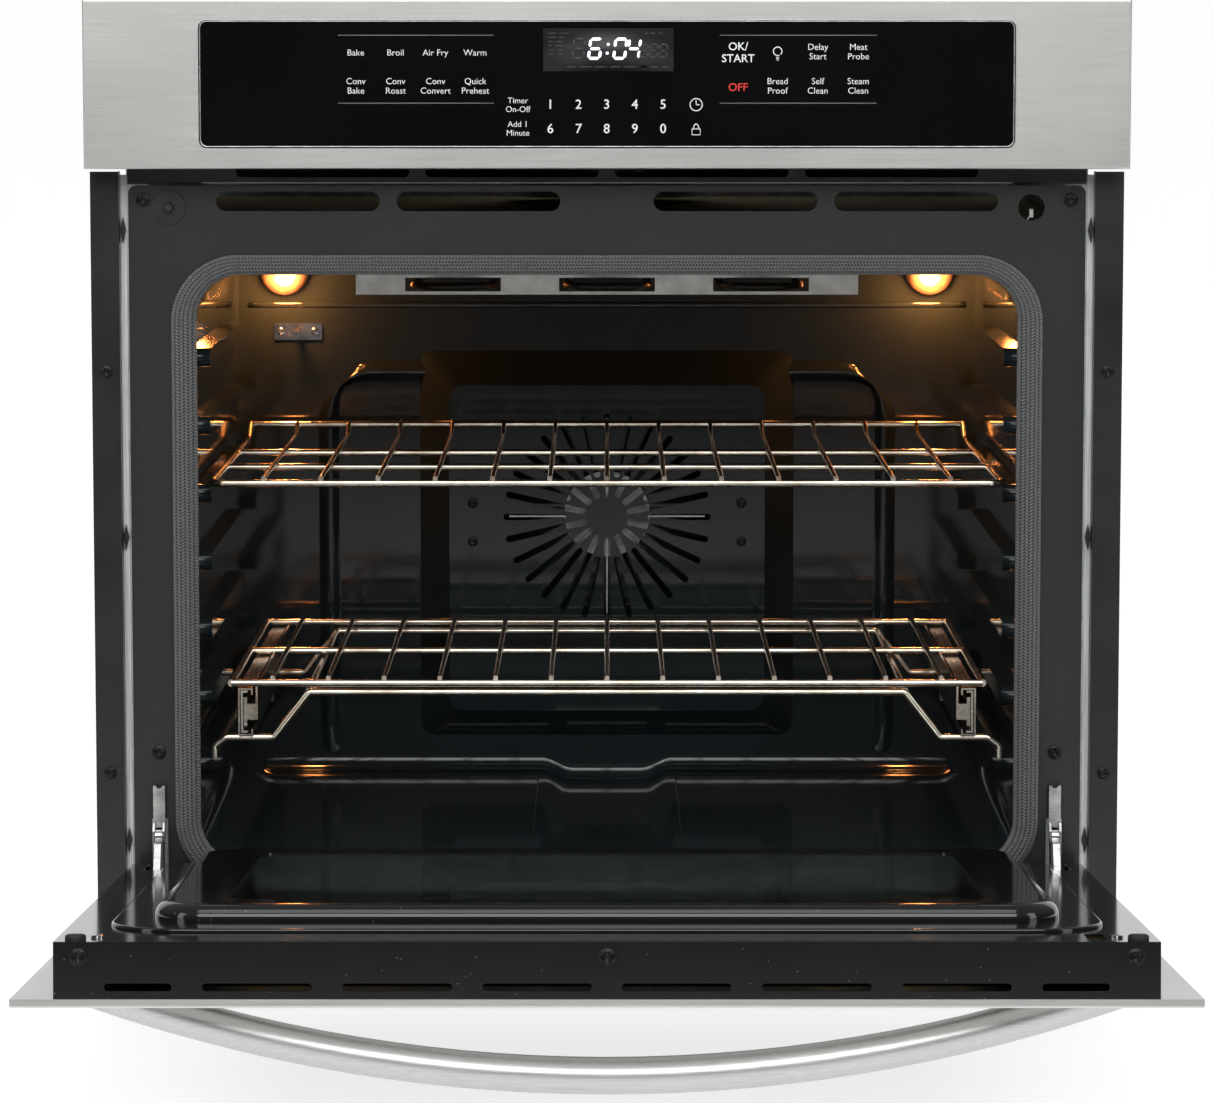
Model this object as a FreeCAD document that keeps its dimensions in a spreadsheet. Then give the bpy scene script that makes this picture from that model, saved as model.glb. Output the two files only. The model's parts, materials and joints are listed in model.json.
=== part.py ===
import FreeCAD, Part
import math
import os
import re
import Sketcher

from FreeCAD import Placement, Rotation, Vector

# A built-in single wall oven, 30 inches wide, with its door hanging open.
# X runs across the oven, +Y runs from the room into the cabinet and +Z is up.
# Y = 0 is the face of the kitchen cabinet, which is the back of the trims.
# Z = 0 is the underside of the base pan, and X = 0 is the middle of the oven.

# Each driving dimension: alias, value in millimetres (degrees for an angle), meaning.
DIMENSIONS = (
    ("trim_half", 381.0, "half the width over the trims, the panel and the door skin"),
    ("trim_inner", 360.0, "from the middle to the inner edge of a side trim"),
    ("trim_top", 597.6, "top of the side trims"),
    ("trim_low", -13.0, "lower edge of all trims"),
    ("bottom_trim_top", 33.6, "top of the bottom trim"),
    ("trim_sheet", 2.0, "thickness of the trim faces"),
    ("sheet", 1.2, "thickness of the pressed steel sheets"),
    ("body_half", 355.5, "half the width of the chassis"),
    ("body_high", 706.0, "height of the chassis"),
    ("body_back", 597.0, "back face of the chassis"),
    ("body_front", 10.5, "front edges of the chassis, behind the front frame"),
    ("pan_high", 24.0, "height of the base pan"),
    ("pan_front", 4.0, "front of the base pan"),
    ("panel_face", -44.0, "front of the control panel"),
    ("panel_top", 723.6, "top of the control panel"),
    ("panel_low", 600.6, "bottom of the control panel"),
    ("glass_half", 297.0, "half the width of the control glass"),
    ("glass_top", 708.9, "top of the control glass"),
    ("glass_low", 615.8, "bottom of the control glass"),
    ("frame_face", 9.0, "face of the porcelain front frame"),
    ("frame_half", 354.0, "half the width of the front frame"),
    ("frame_top", 587.1, "top of the front frame"),
    ("frame_low", 26.0, "bottom of the front frame"),
    ("cavity_half", 308.0, "half the width of the cavity"),
    ("cavity_floor", 78.6, "floor of the cavity"),
    ("cavity_top", 524.6, "ceiling of the cavity"),
    ("cavity_back", 486.0, "back wall of the cavity"),
    ("cavity_round", 30.0, "radius of the cavity's long corners"),
    ("fan_high", 295.6, "height of the convection fan's axis"),
    ("cover_deep", 24.0, "how far the fan cover stands out of the back wall"),
    ("recess_half", 105.0, "radius of the fan recess in the back wall"),
    ("recess_back", 505.0, "floor of the fan recess"),
    ("lamp_across", 270.0, "from the middle to a lamp"),
    ("lamp_high", 500.1, "height of the lamps"),
    ("rib_lowest", 151.8, "top of the lowest rack rib"),
    ("rib_pitch", 51.7, "height from one rib to the next"),
    ("rib_count", 7.0, "ribs on each side wall"),
    ("rib_deep", 8.0, "how far a rib stands out of its wall"),
    ("gasket_half", 323.0, "outer half width of the gasket"),
    ("gasket_wide", 19.0, "width of the gasket's band at the sides"),
    ("gasket_face", 1.3, "front of the gasket"),
    ("hinge_away", -17.0, "the door hinge axis along Y"),
    ("hinge_high", 68.1, "the door hinge axis above the base"),
    ("hinge_across", 335.0, "from the middle to a hinge arm"),
    ("hinge_pin", 4.0, "radius of a hinge pin"),
    ("door_open", 85.6, "angle of the open door from closed"),
    ("door_top", 527.4, "top of the door above its hinge axis"),
    ("door_front", -27.0, "front of the door skin from its hinge axis"),
    ("skin_back", -21.3, "back edge of the door skin's rim"),
    ("skin_low", -15.8, "lower edge of the door skin"),
    ("liner_half", 353.0, "half the width of the door's inner liner"),
    ("liner_low", -15.0, "lower edge of the door's inner liner"),
    ("flange_face", 15.5, "face of the door liner's flange"),
    ("land_face", 18.0, "face of the door liner's gasket land"),
    ("land_half", 326.0, "half the width of the gasket land"),
    ("land_top", 474.0, "top of the gasket land"),
    ("plug_face", 29.5, "face of the raised plug round the window"),
    ("plug_half", 300.0, "half the width of the plug"),
    ("plug_low", 15.0, "lower edge of the plug"),
    ("plug_top", 432.0, "top of the plug"),
    ("window_half", 252.0, "half the width of the window"),
    ("window_low", 60.0, "lower edge of the window"),
    ("window_top", 395.0, "top of the window"),
    ("handle_high", 472.0, "the handle above the hinge axis"),
    ("handle_arc", 1010.0, "radius of the handle's bow"),
    ("handle_bow", 50.7, "from the skin to the handle's centre line at the middle"),
    ("handle_round", 12.2, "radius of the handle bar"),
    ("rack_half", 297.0, "from the middle to a side rod of the upper rack"),
    ("rack_high", 362.6, "height of the upper rack's frame"),
    ("rack_front", 46.0, "front rail of the upper rack"),
    ("rack_back", 456.0, "back rail of the upper rack"),
    ("frame_rod", 2.8, "radius of the racks' frame rods"),
    ("deck_rod", 1.9, "radius of the racks' deck rods"),
    ("deck_pitch", 43.0, "spacing of the deck rods"),
    ("glide_high", 211.9, "height of the gliding shelf's frame"),
    ("glide_half", 283.0, "half the width of the gliding shelf"),
    ("glide_front", 46.0, "front of the gliding rack"),
    ("glide_back", 433.0, "back of the gliding rack"),
    ("slide_inner", 267.0, "inner side of a telescopic slide"),
    ("slide_outer", 278.0, "outer side of a telescopic slide"),
    ("slide_low", 172.1, "bottom of a telescopic slide"),
    ("slide_high", 208.1, "top of a telescopic slide"),
    ("latch_across", 313.8, "from the middle to the latch hook"),
    ("latch_high", 570.8, "height of the latch hole and the door switch"),
    ("switch_across", 324.0, "from the middle to the door switch"),
    ("blower_away", 430.0, "axis of the cooling blower along Y"),
    ("shaft", 4.0, "radius of the motor shafts"),
    ("running", 0.04, "radial clearance of a running fit"),
    ("conduit_hole", 11.0, "radius of the conduit knockout"),
    ("trim_hole", 2.5, "radius of the trims' screw holes"),
    ("trim_hole_across", 370.5, "from the middle to a trim screw hole"),
    ("trim_hole_low", 150.0, "height of the lower trim screw holes"),
    ("trim_hole_high", 450.0, "height of the upper trim screw holes"),
)

PARTS_FOLDER = "parts"
SIDES = (-1, 1)  # left, right

doc = FreeCAD.newDocument("wall_oven")
sheet = doc.addObject("Spreadsheet::Sheet", "Dimensions")
for row, (alias, size, meaning) in enumerate(DIMENSIONS, start=1):
    sheet.set(f"A{row}", meaning)
    sheet.set(f"B{row}", str(size))
    sheet.setAlias(f"B{row}", alias)
doc.recompute()

ALIASES = {alias for alias, _, _ in DIMENSIONS}
nodes = []


def bound(text):
    """The expression with the sheet's name put before each alias."""
    return re.sub(r"[a-z_]+", lambda word: f"Dimensions.{word[0]}" if word[0] in ALIASES else word[0],
        str(text))


def size_of(text):
    """The value of an expression in the sheet's dimensions."""
    answer = sheet.evalExpression(bound(text))
    return float(getattr(answer, "Value", answer))


def on_side(side, inner, outer):
    """The low and high X of something between two distances from the middle."""
    return (f"{inner}", f"{outer}") if side > 0 else (f"-({outer})", f"-({inner})")


# ---------------------------------------------------------------- sketches


def fix_point(sketch, curve, end, across, up):
    """Hold one point of a curve at two coordinates that follow the sheet."""
    for kind, text in (("DistanceX", across), ("DistanceY", up)):
        sketch.addConstraint(Sketcher.Constraint(kind, -1, 1, curve, end, size_of(text)))
        name = f"{kind}_{sketch.ConstraintCount}"
        sketch.renameConstraint(sketch.ConstraintCount - 1, name)
        sketch.setExpression(f"Constraints.{name}", bound(text))


def fix_radius(sketch, curve, radius):
    """Give an arc or a circle a radius that follows the sheet."""
    sketch.addConstraint(Sketcher.Constraint("Radius", curve, size_of(radius)))
    name = f"Radius_{sketch.ConstraintCount}"
    sketch.renameConstraint(sketch.ConstraintCount - 1, name)
    sketch.setExpression(f"Constraints.{name}", bound(radius))


def polygon(*corners):
    """An outline with straight edges through corners given as expressions."""
    def draw(sketch):
        points = [Vector(size_of(x), size_of(y), 0) for x, y in corners]
        first = sketch.GeometryCount
        for start, end in zip(points, points[1:] + points[:1]):
            sketch.addGeometry(Part.LineSegment(start, end), False)
        for place, (x, y) in enumerate(corners):
            before = first + (place - 1) % len(corners)
            sketch.addConstraint(Sketcher.Constraint("Coincident", before, 2, first + place, 1))
            fix_point(sketch, first + place, 1, x, y)
    return draw


def box(left, right, low, high):
    """A rectangle."""
    return polygon((left, low), (right, low), (right, high), (left, high))


def rounded(left, right, low, high, radius):
    """A rectangle with round corners: four straight edges joined by four arcs."""
    def draw(sketch):
        stops = (
            (f"{left} + {radius}", low), (f"{right} - {radius}", low),
            (right, f"{low} + {radius}"), (right, f"{high} - {radius}"),
            (f"{right} - {radius}", high), (f"{left} + {radius}", high),
            (left, f"{high} - {radius}"), (left, f"{low} + {radius}"),
        )
        points = [Vector(size_of(x), size_of(y), 0) for x, y in stops]
        bend = size_of(radius)
        centres = (
            points[1] + Vector(0, bend, 0), points[3] - Vector(bend, 0, 0),
            points[5] - Vector(0, bend, 0), points[7] + Vector(bend, 0, 0),
        )
        first = sketch.GeometryCount
        for corner in range(4):
            edge = first + 2 * corner
            sketch.addGeometry(Part.LineSegment(points[2 * corner], points[2 * corner + 1]), False)
            turn = Part.Circle(centres[corner], Vector(0, 0, 1), bend)
            start = math.radians(-90 + 90 * corner)
            sketch.addGeometry(Part.ArcOfCircle(turn, start, start + math.pi / 2), False)
            fix_point(sketch, edge, 1, *stops[2 * corner])
            fix_point(sketch, edge, 2, *stops[2 * corner + 1])
        for corner in range(4):
            arc = first + 2 * corner + 1
            following = first + (2 * corner + 2) % 8
            sketch.addConstraint(Sketcher.Constraint("Coincident", arc, 1, arc - 1, 2))
            sketch.addConstraint(Sketcher.Constraint("Coincident", arc, 2, following, 1))
            fix_radius(sketch, arc, radius)
    return draw


def disc(across, up, radius):
    """A circle."""
    def draw(sketch):
        centre = Vector(size_of(across), size_of(up), 0)
        sketch.addGeometry(Part.Circle(centre, Vector(0, 0, 1), size_of(radius)), False)
        curve = sketch.GeometryCount - 1
        fix_point(sketch, curve, 3, across, up)
        fix_radius(sketch, curve, radius)
    return draw


def lying_slot(across, up, length, wide):
    """A slot along the sketch's first axis with full round ends."""
    reach = f"(({length}) - ({wide})) / 2"
    return rounded_slot(f"{across} - {reach}", up, f"{across} + {reach}", up, f"({wide}) / 2")


def standing_slot(across, up, length, wide):
    """A slot along the sketch's second axis with full round ends."""
    reach = f"(({length}) - ({wide})) / 2"
    return rounded_slot(across, f"{up} - {reach}", across, f"{up} + {reach}", f"({wide}) / 2")


def rounded_slot(x_first, y_first, x_last, y_last, radius):
    """A slot between two centres: two half circles joined by two tangent edges."""
    def draw(sketch):
        first = Vector(size_of(x_first), size_of(y_first), 0)
        last = Vector(size_of(x_last), size_of(y_last), 0)
        bend = size_of(radius)
        heading = math.atan2(last.y - first.y, last.x - first.x)
        side = Vector(-math.sin(heading), math.cos(heading), 0) * bend
        arc = sketch.GeometryCount
        half = math.pi / 2
        ring = Part.Circle(first, Vector(0, 0, 1), bend)
        sketch.addGeometry(Part.ArcOfCircle(ring, heading + half, heading + 3 * half), False)
        sketch.addGeometry(Part.LineSegment(first - side, last - side), False)
        ring = Part.Circle(last, Vector(0, 0, 1), bend)
        sketch.addGeometry(Part.ArcOfCircle(ring, heading - half, heading + half), False)
        sketch.addGeometry(Part.LineSegment(last + side, first + side), False)
        for curve in range(4):
            sketch.addConstraint(Sketcher.Constraint("Tangent", arc + curve, 2, arc + (curve + 1) % 4, 1))
        fix_point(sketch, arc, 3, x_first, y_first)
        fix_point(sketch, arc + 2, 3, x_last, y_last)
        fix_radius(sketch, arc, radius)
    return draw


# ---------------------------------------------------------------- features


def new_body(label):
    """A body of its own for one node."""
    body = doc.addObject("PartDesign::Body", label)
    body.Label = label
    nodes.append(body)
    doc.recompute()
    return body


def new_sketch(body, role, offset, *outlines):
    """A sketch on one of the body's origin planes, moved along the plane's normal."""
    sketch = body.newObject("Sketcher::SketchObject", f"{body.Name}_outline")
    plane = next(feature for feature in body.Origin.OriginFeatures if feature.Role == role)
    sketch.AttachmentSupport = [(plane, "")]
    sketch.MapMode = "FlatFace"
    sketch.setExpression("AttachmentOffset.Base.z", bound(offset))
    for draw in outlines:
        draw(sketch)
    return sketch


def layer(body, kind, role, near, far, *outlines):
    """Pad or pocket the outlines between two planes square to one axis.

    The XZ plane's normal points along -Y, and a pocket runs against its sketch's normal.
    """
    adds = kind == "Pad"
    if role == "XZ_Plane":
        offset = f"-({far})" if adds else f"-({near})"
    else:
        offset = near if adds else far
    before = body.Shape.Volume if body.Tip else 0.0
    sketch = new_sketch(body, role, offset, *outlines)
    feature = body.newObject(f"PartDesign::{kind}", f"{body.Name}_{kind.lower()}")
    feature.Profile = sketch
    feature.setExpression("Length", bound(f"({far}) - ({near})"))
    doc.recompute()
    change = body.Shape.Volume - before
    if (change > 0) != adds or abs(change) < 1e-6:
        raise RuntimeError(f"{body.Label}: a {kind} between {near} and {far} changed nothing")
    return feature


def along_y(body, kind, near, far, *outlines):
    """A layer whose outlines are drawn as seen from the room: X across, Z up."""
    return layer(body, kind, "XZ_Plane", near, far, *outlines)


def along_z(body, kind, near, far, *outlines):
    """A layer whose outlines are drawn on the floor: X across, Y away."""
    return layer(body, kind, "XY_Plane", near, far, *outlines)


def along_x(body, kind, near, far, *outlines):
    """A layer whose outlines are drawn as seen from the right: Y across, Z up."""
    return layer(body, kind, "YZ_Plane", near, far, *outlines)


def dress(body, kind, amount, picks):
    """Fillet or chamfer the edges of the body's tip that picks accepts."""
    base = body.Tip
    names = [f"Edge{place}" for place, edge in enumerate(base.Shape.Edges, start=1) if picks(edge)]
    if not names:
        raise RuntimeError(f"{body.Label}: no edge for the {kind}")
    feature = body.newObject(f"PartDesign::{kind}", f"{body.Name}_{kind.lower()}")
    feature.Base = (base, names)
    feature.setExpression("Radius" if kind == "Fillet" else "Size", bound(amount))
    doc.recompute()


def at_y(where):
    """Accepts edges that lie in one plane square to Y."""
    def picks(edge):
        reach = edge.BoundBox
        return abs(reach.YMin - size_of(where)) < 1e-4 and abs(reach.YMax - size_of(where)) < 1e-4
    return picks


def turned(body, feature, role, count):
    """Repeat a feature round the axis with the given role."""
    pattern = body.newObject("PartDesign::PolarPattern", f"{body.Name}_pattern")
    pattern.Originals = [feature]
    axis = next(line for line in body.Origin.OriginFeatures if line.Role == role)
    pattern.Axis = (axis, [""])
    pattern.Angle = 360
    pattern.Occurrences = count
    body.Tip = pattern
    doc.recompute()
    return pattern


def in_a_row(body, feature, role, length, count):
    """Repeat a feature along the axis with the given role, over a length."""
    pattern = body.newObject("PartDesign::LinearPattern", f"{body.Name}_row")
    pattern.Originals = [feature]
    axis = next(line for line in body.Origin.OriginFeatures if line.Role == role)
    pattern.Direction = (axis, [""])
    pattern.Length = length
    pattern.Occurrences = count
    body.Tip = pattern
    doc.recompute()


def moved(body, x="0", y="0", z="0"):
    """Stand the body at a place that follows the sheet."""
    for axis, text in zip("xyz", (x, y, z)):
        body.setExpression(f"Placement.Base.{axis}", bound(text))
    doc.recompute()


def hung(node):
    """Stand a piece of the door, drawn closed about the hinge axis, in the open door."""
    node.Placement = Placement(Vector(0, 0, 0), Rotation(Vector(1, 0, 0), size_of("door_open")))
    node.setExpression("Placement.Base.y", bound("hinge_away"))
    node.setExpression("Placement.Base.z", bound("hinge_high"))
    node.setExpression("Placement.Rotation.Angle", bound("door_open"))
    doc.recompute()


def formed(label, shape):
    """A node whose shape is a bent wire or a group of such."""
    node = doc.addObject("Part::Feature", label)
    node.Label = label
    node.Shape = shape
    nodes.append(node)
    return node


# ---------------------------------------------------------------- bent wire


def bent_path(points, bend):
    """A wire of straight runs through the points, joined by tangent arcs of one radius."""
    corners = [Vector(*point) for point in points]
    edges = []
    start = corners[0]
    for before, corner, after in zip(corners, corners[1:], corners[2:]):
        incoming = (corner - before).normalize()
        outgoing = (after - corner).normalize()
        turn = incoming.getAngle(outgoing)
        reach = bend * math.tan(turn / 2)
        arc_start = corner - incoming * reach
        arc_end = corner + outgoing * reach
        inward = (outgoing - incoming).normalize()
        centre = corner + inward * (bend / math.cos(turn / 2))
        middle = centre - inward * bend
        if (arc_start - start).Length > 1e-6:
            edges.append(Part.LineSegment(start, arc_start).toShape())
        edges.append(Part.Arc(arc_start, middle, arc_end).toShape())
        start = arc_end
    if (corners[-1] - start).Length > 1e-6:
        edges.append(Part.LineSegment(start, corners[-1]).toShape())
    return Part.Wire(edges)


def bent_rod(points, bend, radius):
    """A round rod along a bent path."""
    path = bent_path(points, bend)
    start = path.Edges[0].valueAt(path.Edges[0].FirstParameter)
    heading = path.Edges[0].tangentAt(path.Edges[0].FirstParameter)
    section = Part.Wire(Part.Circle(start, heading, radius).toShape())
    rod = path.makePipeShell([section], True, False)
    expected = math.pi * radius**2 * path.Length
    if abs(rod.Volume - expected) > 0.02 * expected:
        raise RuntimeError("a bent rod's volume doesn't match its length")
    return rod


def straight_rod(start, end, radius):
    """A round rod between two points."""
    first, last = Vector(*start), Vector(*end)
    return Part.makeCylinder(radius, (last - first).Length, first, last - first)


def welded(shapes):
    """One solid from rods that run into each other."""
    whole = shapes[0].fuse(shapes[1:])
    if len(whole.Solids) != 1:
        raise RuntimeError(f"a welded frame fell into {len(whole.Solids)} solids")
    return whole.Solids[0]


# ---------------------------------------------------------------- chassis


def build_base_pan():
    """A shallow tray that the whole oven stands on, with intake slots in its floor."""
    body = new_body("base_pan")
    along_z(body, "Pad", "0", "pan_high", box("-body_half", "body_half", "pan_front", "body_back"))
    along_z(body, "Pocket", "sheet", "pan_high + 1", box(
        "-body_half + sheet", "body_half - sheet", "pan_front + sheet", "body_back - sheet"))
    slots = [standing_slot("-250", f"{y}", "60", "6") for y in (120, 470)]
    in_a_row(body, along_z(body, "Pocket", "-1", "sheet + 1", *slots), "X_Axis", 500, 11)


def build_chassis_side(side, label):
    """A galvanised side panel with a front flange for the front frame's screws."""
    body = new_body(label)
    wall_low, wall_high = on_side(side, "body_half - sheet", "body_half")
    along_x(body, "Pad", wall_low, wall_high, box("body_front", "body_back - sheet", "pan_high", "body_high"))
    flange = on_side(side, "326", "body_half - sheet / 2")
    ear = on_side(side, "339", "body_half - sheet / 2")
    along_y(body, "Pad", "body_front", "body_front + sheet", box(*flange, "150", "552"))
    along_y(body, "Pad", "body_front", "body_front + sheet", box(*ear, "551", "588"))
    holes = [disc(f"{side} * 335", "164.1", "2.2"), disc(f"{side} * 343", "576.6", "2.2")]
    along_y(body, "Pocket", "body_front - 1", "body_front + sheet + 1", *holes)
    louvres = [lying_slot("500", f"{z}", "110", "5") for z in range(580, 680, 16)]
    along_x(body, "Pocket", f"{wall_low} - 1", f"{wall_high} + 1", *louvres)


def build_chassis_top():
    """The top sheet between the side panels, with an outlet grille over the blower."""
    body = new_body("chassis_top")
    along_z(body, "Pad", "body_high - sheet", "body_high", box(
        "-body_half + sheet", "body_half - sheet", "body_front + sheet", "body_back - sheet"))
    slot = along_z(body, "Pocket", "body_high - sheet - 1", "body_high + 1",
        standing_slot("-150", "480", "90", "6"))
    in_a_row(body, slot, "X_Axis", 300, 16)


def build_chassis_back():
    """The back sheet with cooling slots and the conduit knockout."""
    body = new_body("chassis_back")
    along_y(body, "Pad", "body_back - sheet", "body_back",
        box("-body_half", "body_half", "pan_high", "body_high"))
    near, far = "body_back - sheet - 1", "body_back + 1"
    slots = [lying_slot(f"{x}", "600", "90", "6") for x in (-60, 60, 180)]
    in_a_row(body, along_y(body, "Pocket", near, far, *slots), "Z_Axis", 72, 5)
    along_y(body, "Pocket", near, far, disc("-250", "650", "conduit_hole"))


def build_cavity_liner():
    """The porcelain box that is cooked in: round corners, rack ribs, a fan recess and a floor basin."""
    body = new_body("cavity_liner")
    half, low, high = "cavity_half", "cavity_floor", "cavity_top"
    outer = rounded(f"-{half} - sheet", f"{half} + sheet", f"{low} - sheet", f"{high} + sheet",
                    "(cavity_round + sheet)")
    along_y(body, "Pad", "body_front", "cavity_back + sheet", outer)
    along_y(body, "Pad", "cavity_back", "recess_back + sheet", disc("0", "fan_high", "recess_half + sheet"))
    along_z(body, "Pad", "68", "cavity_floor", box("-56", "56", "70", "cavity_back + sheet"))
    inner = rounded(f"-{half}", half, low, high, "cavity_round")
    along_y(body, "Pocket", "body_front", "cavity_back", inner)
    along_y(body, "Pocket", "cavity_back - 1", "recess_back", disc("0", "fan_high", "recess_half"))
    along_z(body, "Pocket", "68 + sheet", "cavity_floor + 0.01", box(
        "-56 + sheet", "56 - sheet", "70 + sheet", "cavity_back"))
    for side in SIDES:
        near, far = on_side(side, "cavity_half - rib_deep", "cavity_half + sheet / 2")
        levels = [f"rib_lowest + {place} * rib_pitch - 7" for place in range(int(size_of("rib_count")))]
        along_x(body, "Pad", near, far, *[lying_slot("250", level, "350", "14") for level in levels])
    lamps = [disc(f"{side} * lamp_across", "lamp_high", "17") for side in SIDES]
    leads = [disc(f"{side} * 149", "505", "4") for side in SIDES]
    along_y(body, "Pocket", "cavity_back - 1", "cavity_back + sheet + 1", disc("-259", "449.6", "4"),
        *lamps, *leads)
    along_y(body, "Pocket", "recess_back - 1", "recess_back + sheet + 1", disc("0", "fan_high", "8"),
            disc("-12", "fan_high + 95", "4"), disc("12", "fan_high + 95", "4"))


def build_cavity_insulation():
    """The glass wool blanket round the cavity, with passages for what comes through it."""
    body = new_body("cavity_insulation")
    along_y(body, "Pad", "62", "560", box("-350", "350", "30", "560"))
    along_y(body, "Pocket", "61", "cavity_back + sheet + 0.3", box(
        "-cavity_half - sheet - 0.3", "cavity_half + sheet + 0.3", "62", "cavity_top + sheet + 0.3"))
    lamps = [disc(f"{side} * lamp_across", "lamp_high", "17") for side in SIDES]
    leads = [disc(f"{side} * 149", "505", "6") for side in SIDES]
    lower = [disc(f"{side} * 90", "69", "6") for side in SIDES]
    along_y(body, "Pocket", "cavity_back", "561", disc("0", "fan_high", "recess_half + sheet + 0.3"),
            disc("-259", "449.6", "6"), *lamps, *leads, *lower)


def build_front_frame():
    """The porcelain face of the oven round the cavity, with air slots and hinge openings."""
    body = new_body("front_frame")
    along_y(body, "Pad", "frame_face", "body_front",
        rounded("-frame_half", "frame_half", "frame_low", "frame_top", "6"))
    along_y(body, "Pocket", "frame_face - 1", "body_front + 1", rounded(
        "-cavity_half", "cavity_half", "cavity_floor", "cavity_top", "cavity_round"))
    slots = [lying_slot(f"{x}", "575.35", "121", "14.5") for x in (-228.5, -95, 95, 228.5)]
    hinges = [box(*on_side(side, "hinge_across - 6.2", "hinge_across + 6.2"), "72", "114") for side in SIDES]
    screws = [disc(f"{side} * 343", "576.6", "2.2") for side in SIDES]
    screws += [disc(f"{side} * 335", "164.1", "2.2") for side in SIDES]
    along_y(body, "Pocket", "frame_face - 1", "body_front + 1", disc("-switch_across", "latch_high", "12.8"),
            disc("latch_across", "latch_high", "9.8"), *slots, *hinges, *screws)


def build_side_trim(side, label):
    """A black side trim: a face on the cabinet and a return into the cut-out."""
    body = new_body(label)
    face = on_side(side, "trim_inner", "trim_half")
    lip = on_side(side, "trim_inner", "trim_inner + sheet")
    along_y(body, "Pad", "-trim_sheet", "0", box(*face, "trim_low", "trim_top"))
    along_y(body, "Pad", "-trim_sheet / 2", "12", box(*lip, "trim_low", "trim_top"))
    holes = [disc(f"{side} * trim_hole_across", high, "trim_hole")
             for high in ("trim_hole_low", "trim_hole_high")]
    along_y(body, "Pocket", "-trim_sheet - 1", "1", *holes)


def build_bottom_trim():
    """The black trim under the door, with a row of air slots."""
    body = new_body("bottom_trim")
    joint_gap = "0.3"
    along_y(body, "Pad", "-trim_sheet", "0", box(
        f"-trim_inner + {joint_gap}", f"trim_inner - {joint_gap}", "trim_low", "bottom_trim_top"))
    slots = [lying_slot(f"{x}", "26", "60", "5") for x in range(-300, 301, 75)]
    along_y(body, "Pocket", "-trim_sheet - 1", "1", *slots)


def build_mounting_channels():
    """Two galvanised angles that carry the side trims on the chassis."""
    body = new_body("mounting_channels")
    corners = []
    for side in SIDES:
        points = (("body_half", "10.8"), ("trim_inner - 0.1", "10.8"), ("trim_inner - 0.1", "10.8 + sheet"),
                  ("body_half + sheet", "10.8 + sheet"), ("body_half + sheet", "50"), ("body_half", "50"))
        corners.append(polygon(*[(f"{side} * ({x})", y) for x, y in points]))
    along_z(body, "Pad", "30", "595", *corners)


def build_trim_spacers():
    """Six black plastic diamonds that keep the trims clear of the front frame."""
    body = new_body("trim_spacers")
    middle = "(body_half + trim_inner) / 2"
    diamonds = []
    for side in SIDES:
        for high in ("554.1", "325.8", "97.6"):
            diamonds.append(polygon(
                (f"{side} * ({middle}) - 2.1", high), (f"{side} * ({middle})", f"{high} - 9.3"),
                (f"{side} * ({middle}) + 2.1", high), (f"{side} * ({middle})", f"{high} + 9.3")))
    along_y(body, "Pad", "4.5", "10.8", *diamonds)


# ---------------------------------------------------------------- control panel


def build_panel_fascia():
    """The brushed steel shell of the control panel with its window for the glass."""
    body = new_body("panel_fascia")
    along_y(body, "Pad", "panel_face", "0", box("-trim_half", "trim_half", "panel_low", "panel_top"))
    dress(body, "Fillet", "1.5", at_y("panel_face"))
    along_y(body, "Pocket", "panel_face + 2", "1", box(
        "-trim_half + sheet", "trim_half - sheet", "panel_low + sheet", "panel_top - sheet"))
    along_y(body, "Pocket", "panel_face - 1", "panel_face + 3", rounded(
        "-glass_half", "glass_half", "glass_low", "glass_top", "6"))


def build_panel_glass():
    """The black touch glass of the control panel."""
    body = new_body("panel_glass")
    along_y(body, "Pad", "panel_face - 0.4", "panel_face + 3", rounded(
        "-glass_half + 0.3", "glass_half - 0.3", "glass_low + 0.3", "glass_top - 0.3", "5.7"))


def build_display_board():
    """The circuit board behind the glass with its clock display."""
    body = new_body("display_board")
    along_y(body, "Pad", "panel_face + 6", "panel_face + 7.6", box("-250", "250", "622", "702"))
    along_y(body, "Pad", "panel_face + 3.2", "panel_face + 6.5", box("-52", "52", "660", "698"))
    along_y(body, "Pad", "panel_face + 7", "panel_face + 16", box("-200", "-150", "640", "660"), box(
        "120", "190", "640", "670"))


def build_panel_support():
    """The bracket that joins the control panel to the chassis, and a tray for its board."""
    body = new_body("panel_support")
    along_y(body, "Pad", "frame_face", "body_front", box("-frame_half", "frame_half", "608", "body_high - 2"))
    along_y(body, "Pad", "-25", "frame_face + 0.5", box("-340", "340", "608", "608 + sheet"), box(
        "-340", "340", "body_high - 2 - sheet", "body_high - 2"))
    along_y(body, "Pad", "panel_face + 8", "-24", box("-340", "-338", "608", "702"),
        box("338", "340", "608", "702"))
    ports = [rounded(f"{x} - 45", f"{x} + 45", "640", "680", "8") for x in (-240, -80, 80, 240)]
    along_y(body, "Pocket", "frame_face - 1", "body_front + 1", *ports)


def build_vent_strip():
    """The black louvre under the control panel where the cooling air leaves."""
    body = new_body("vent_strip")
    along_y(body, "Pad", "4", "4 + sheet", box("-frame_half", "frame_half", "589.6", "607"))
    along_y(body, "Pad", "4 + sheet / 2", "frame_face",
        box("-frame_half", "frame_half", "607 - sheet", "607"))
    slots = [rounded(f"{x} - 64", f"{x} + 64", "593.2", "604", "4") for x in (-210, -70, 70, 210)]
    along_y(body, "Pocket", "3", "4 + sheet + 0.5", *slots)


# ---------------------------------------------------------------- cavity fittings


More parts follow.
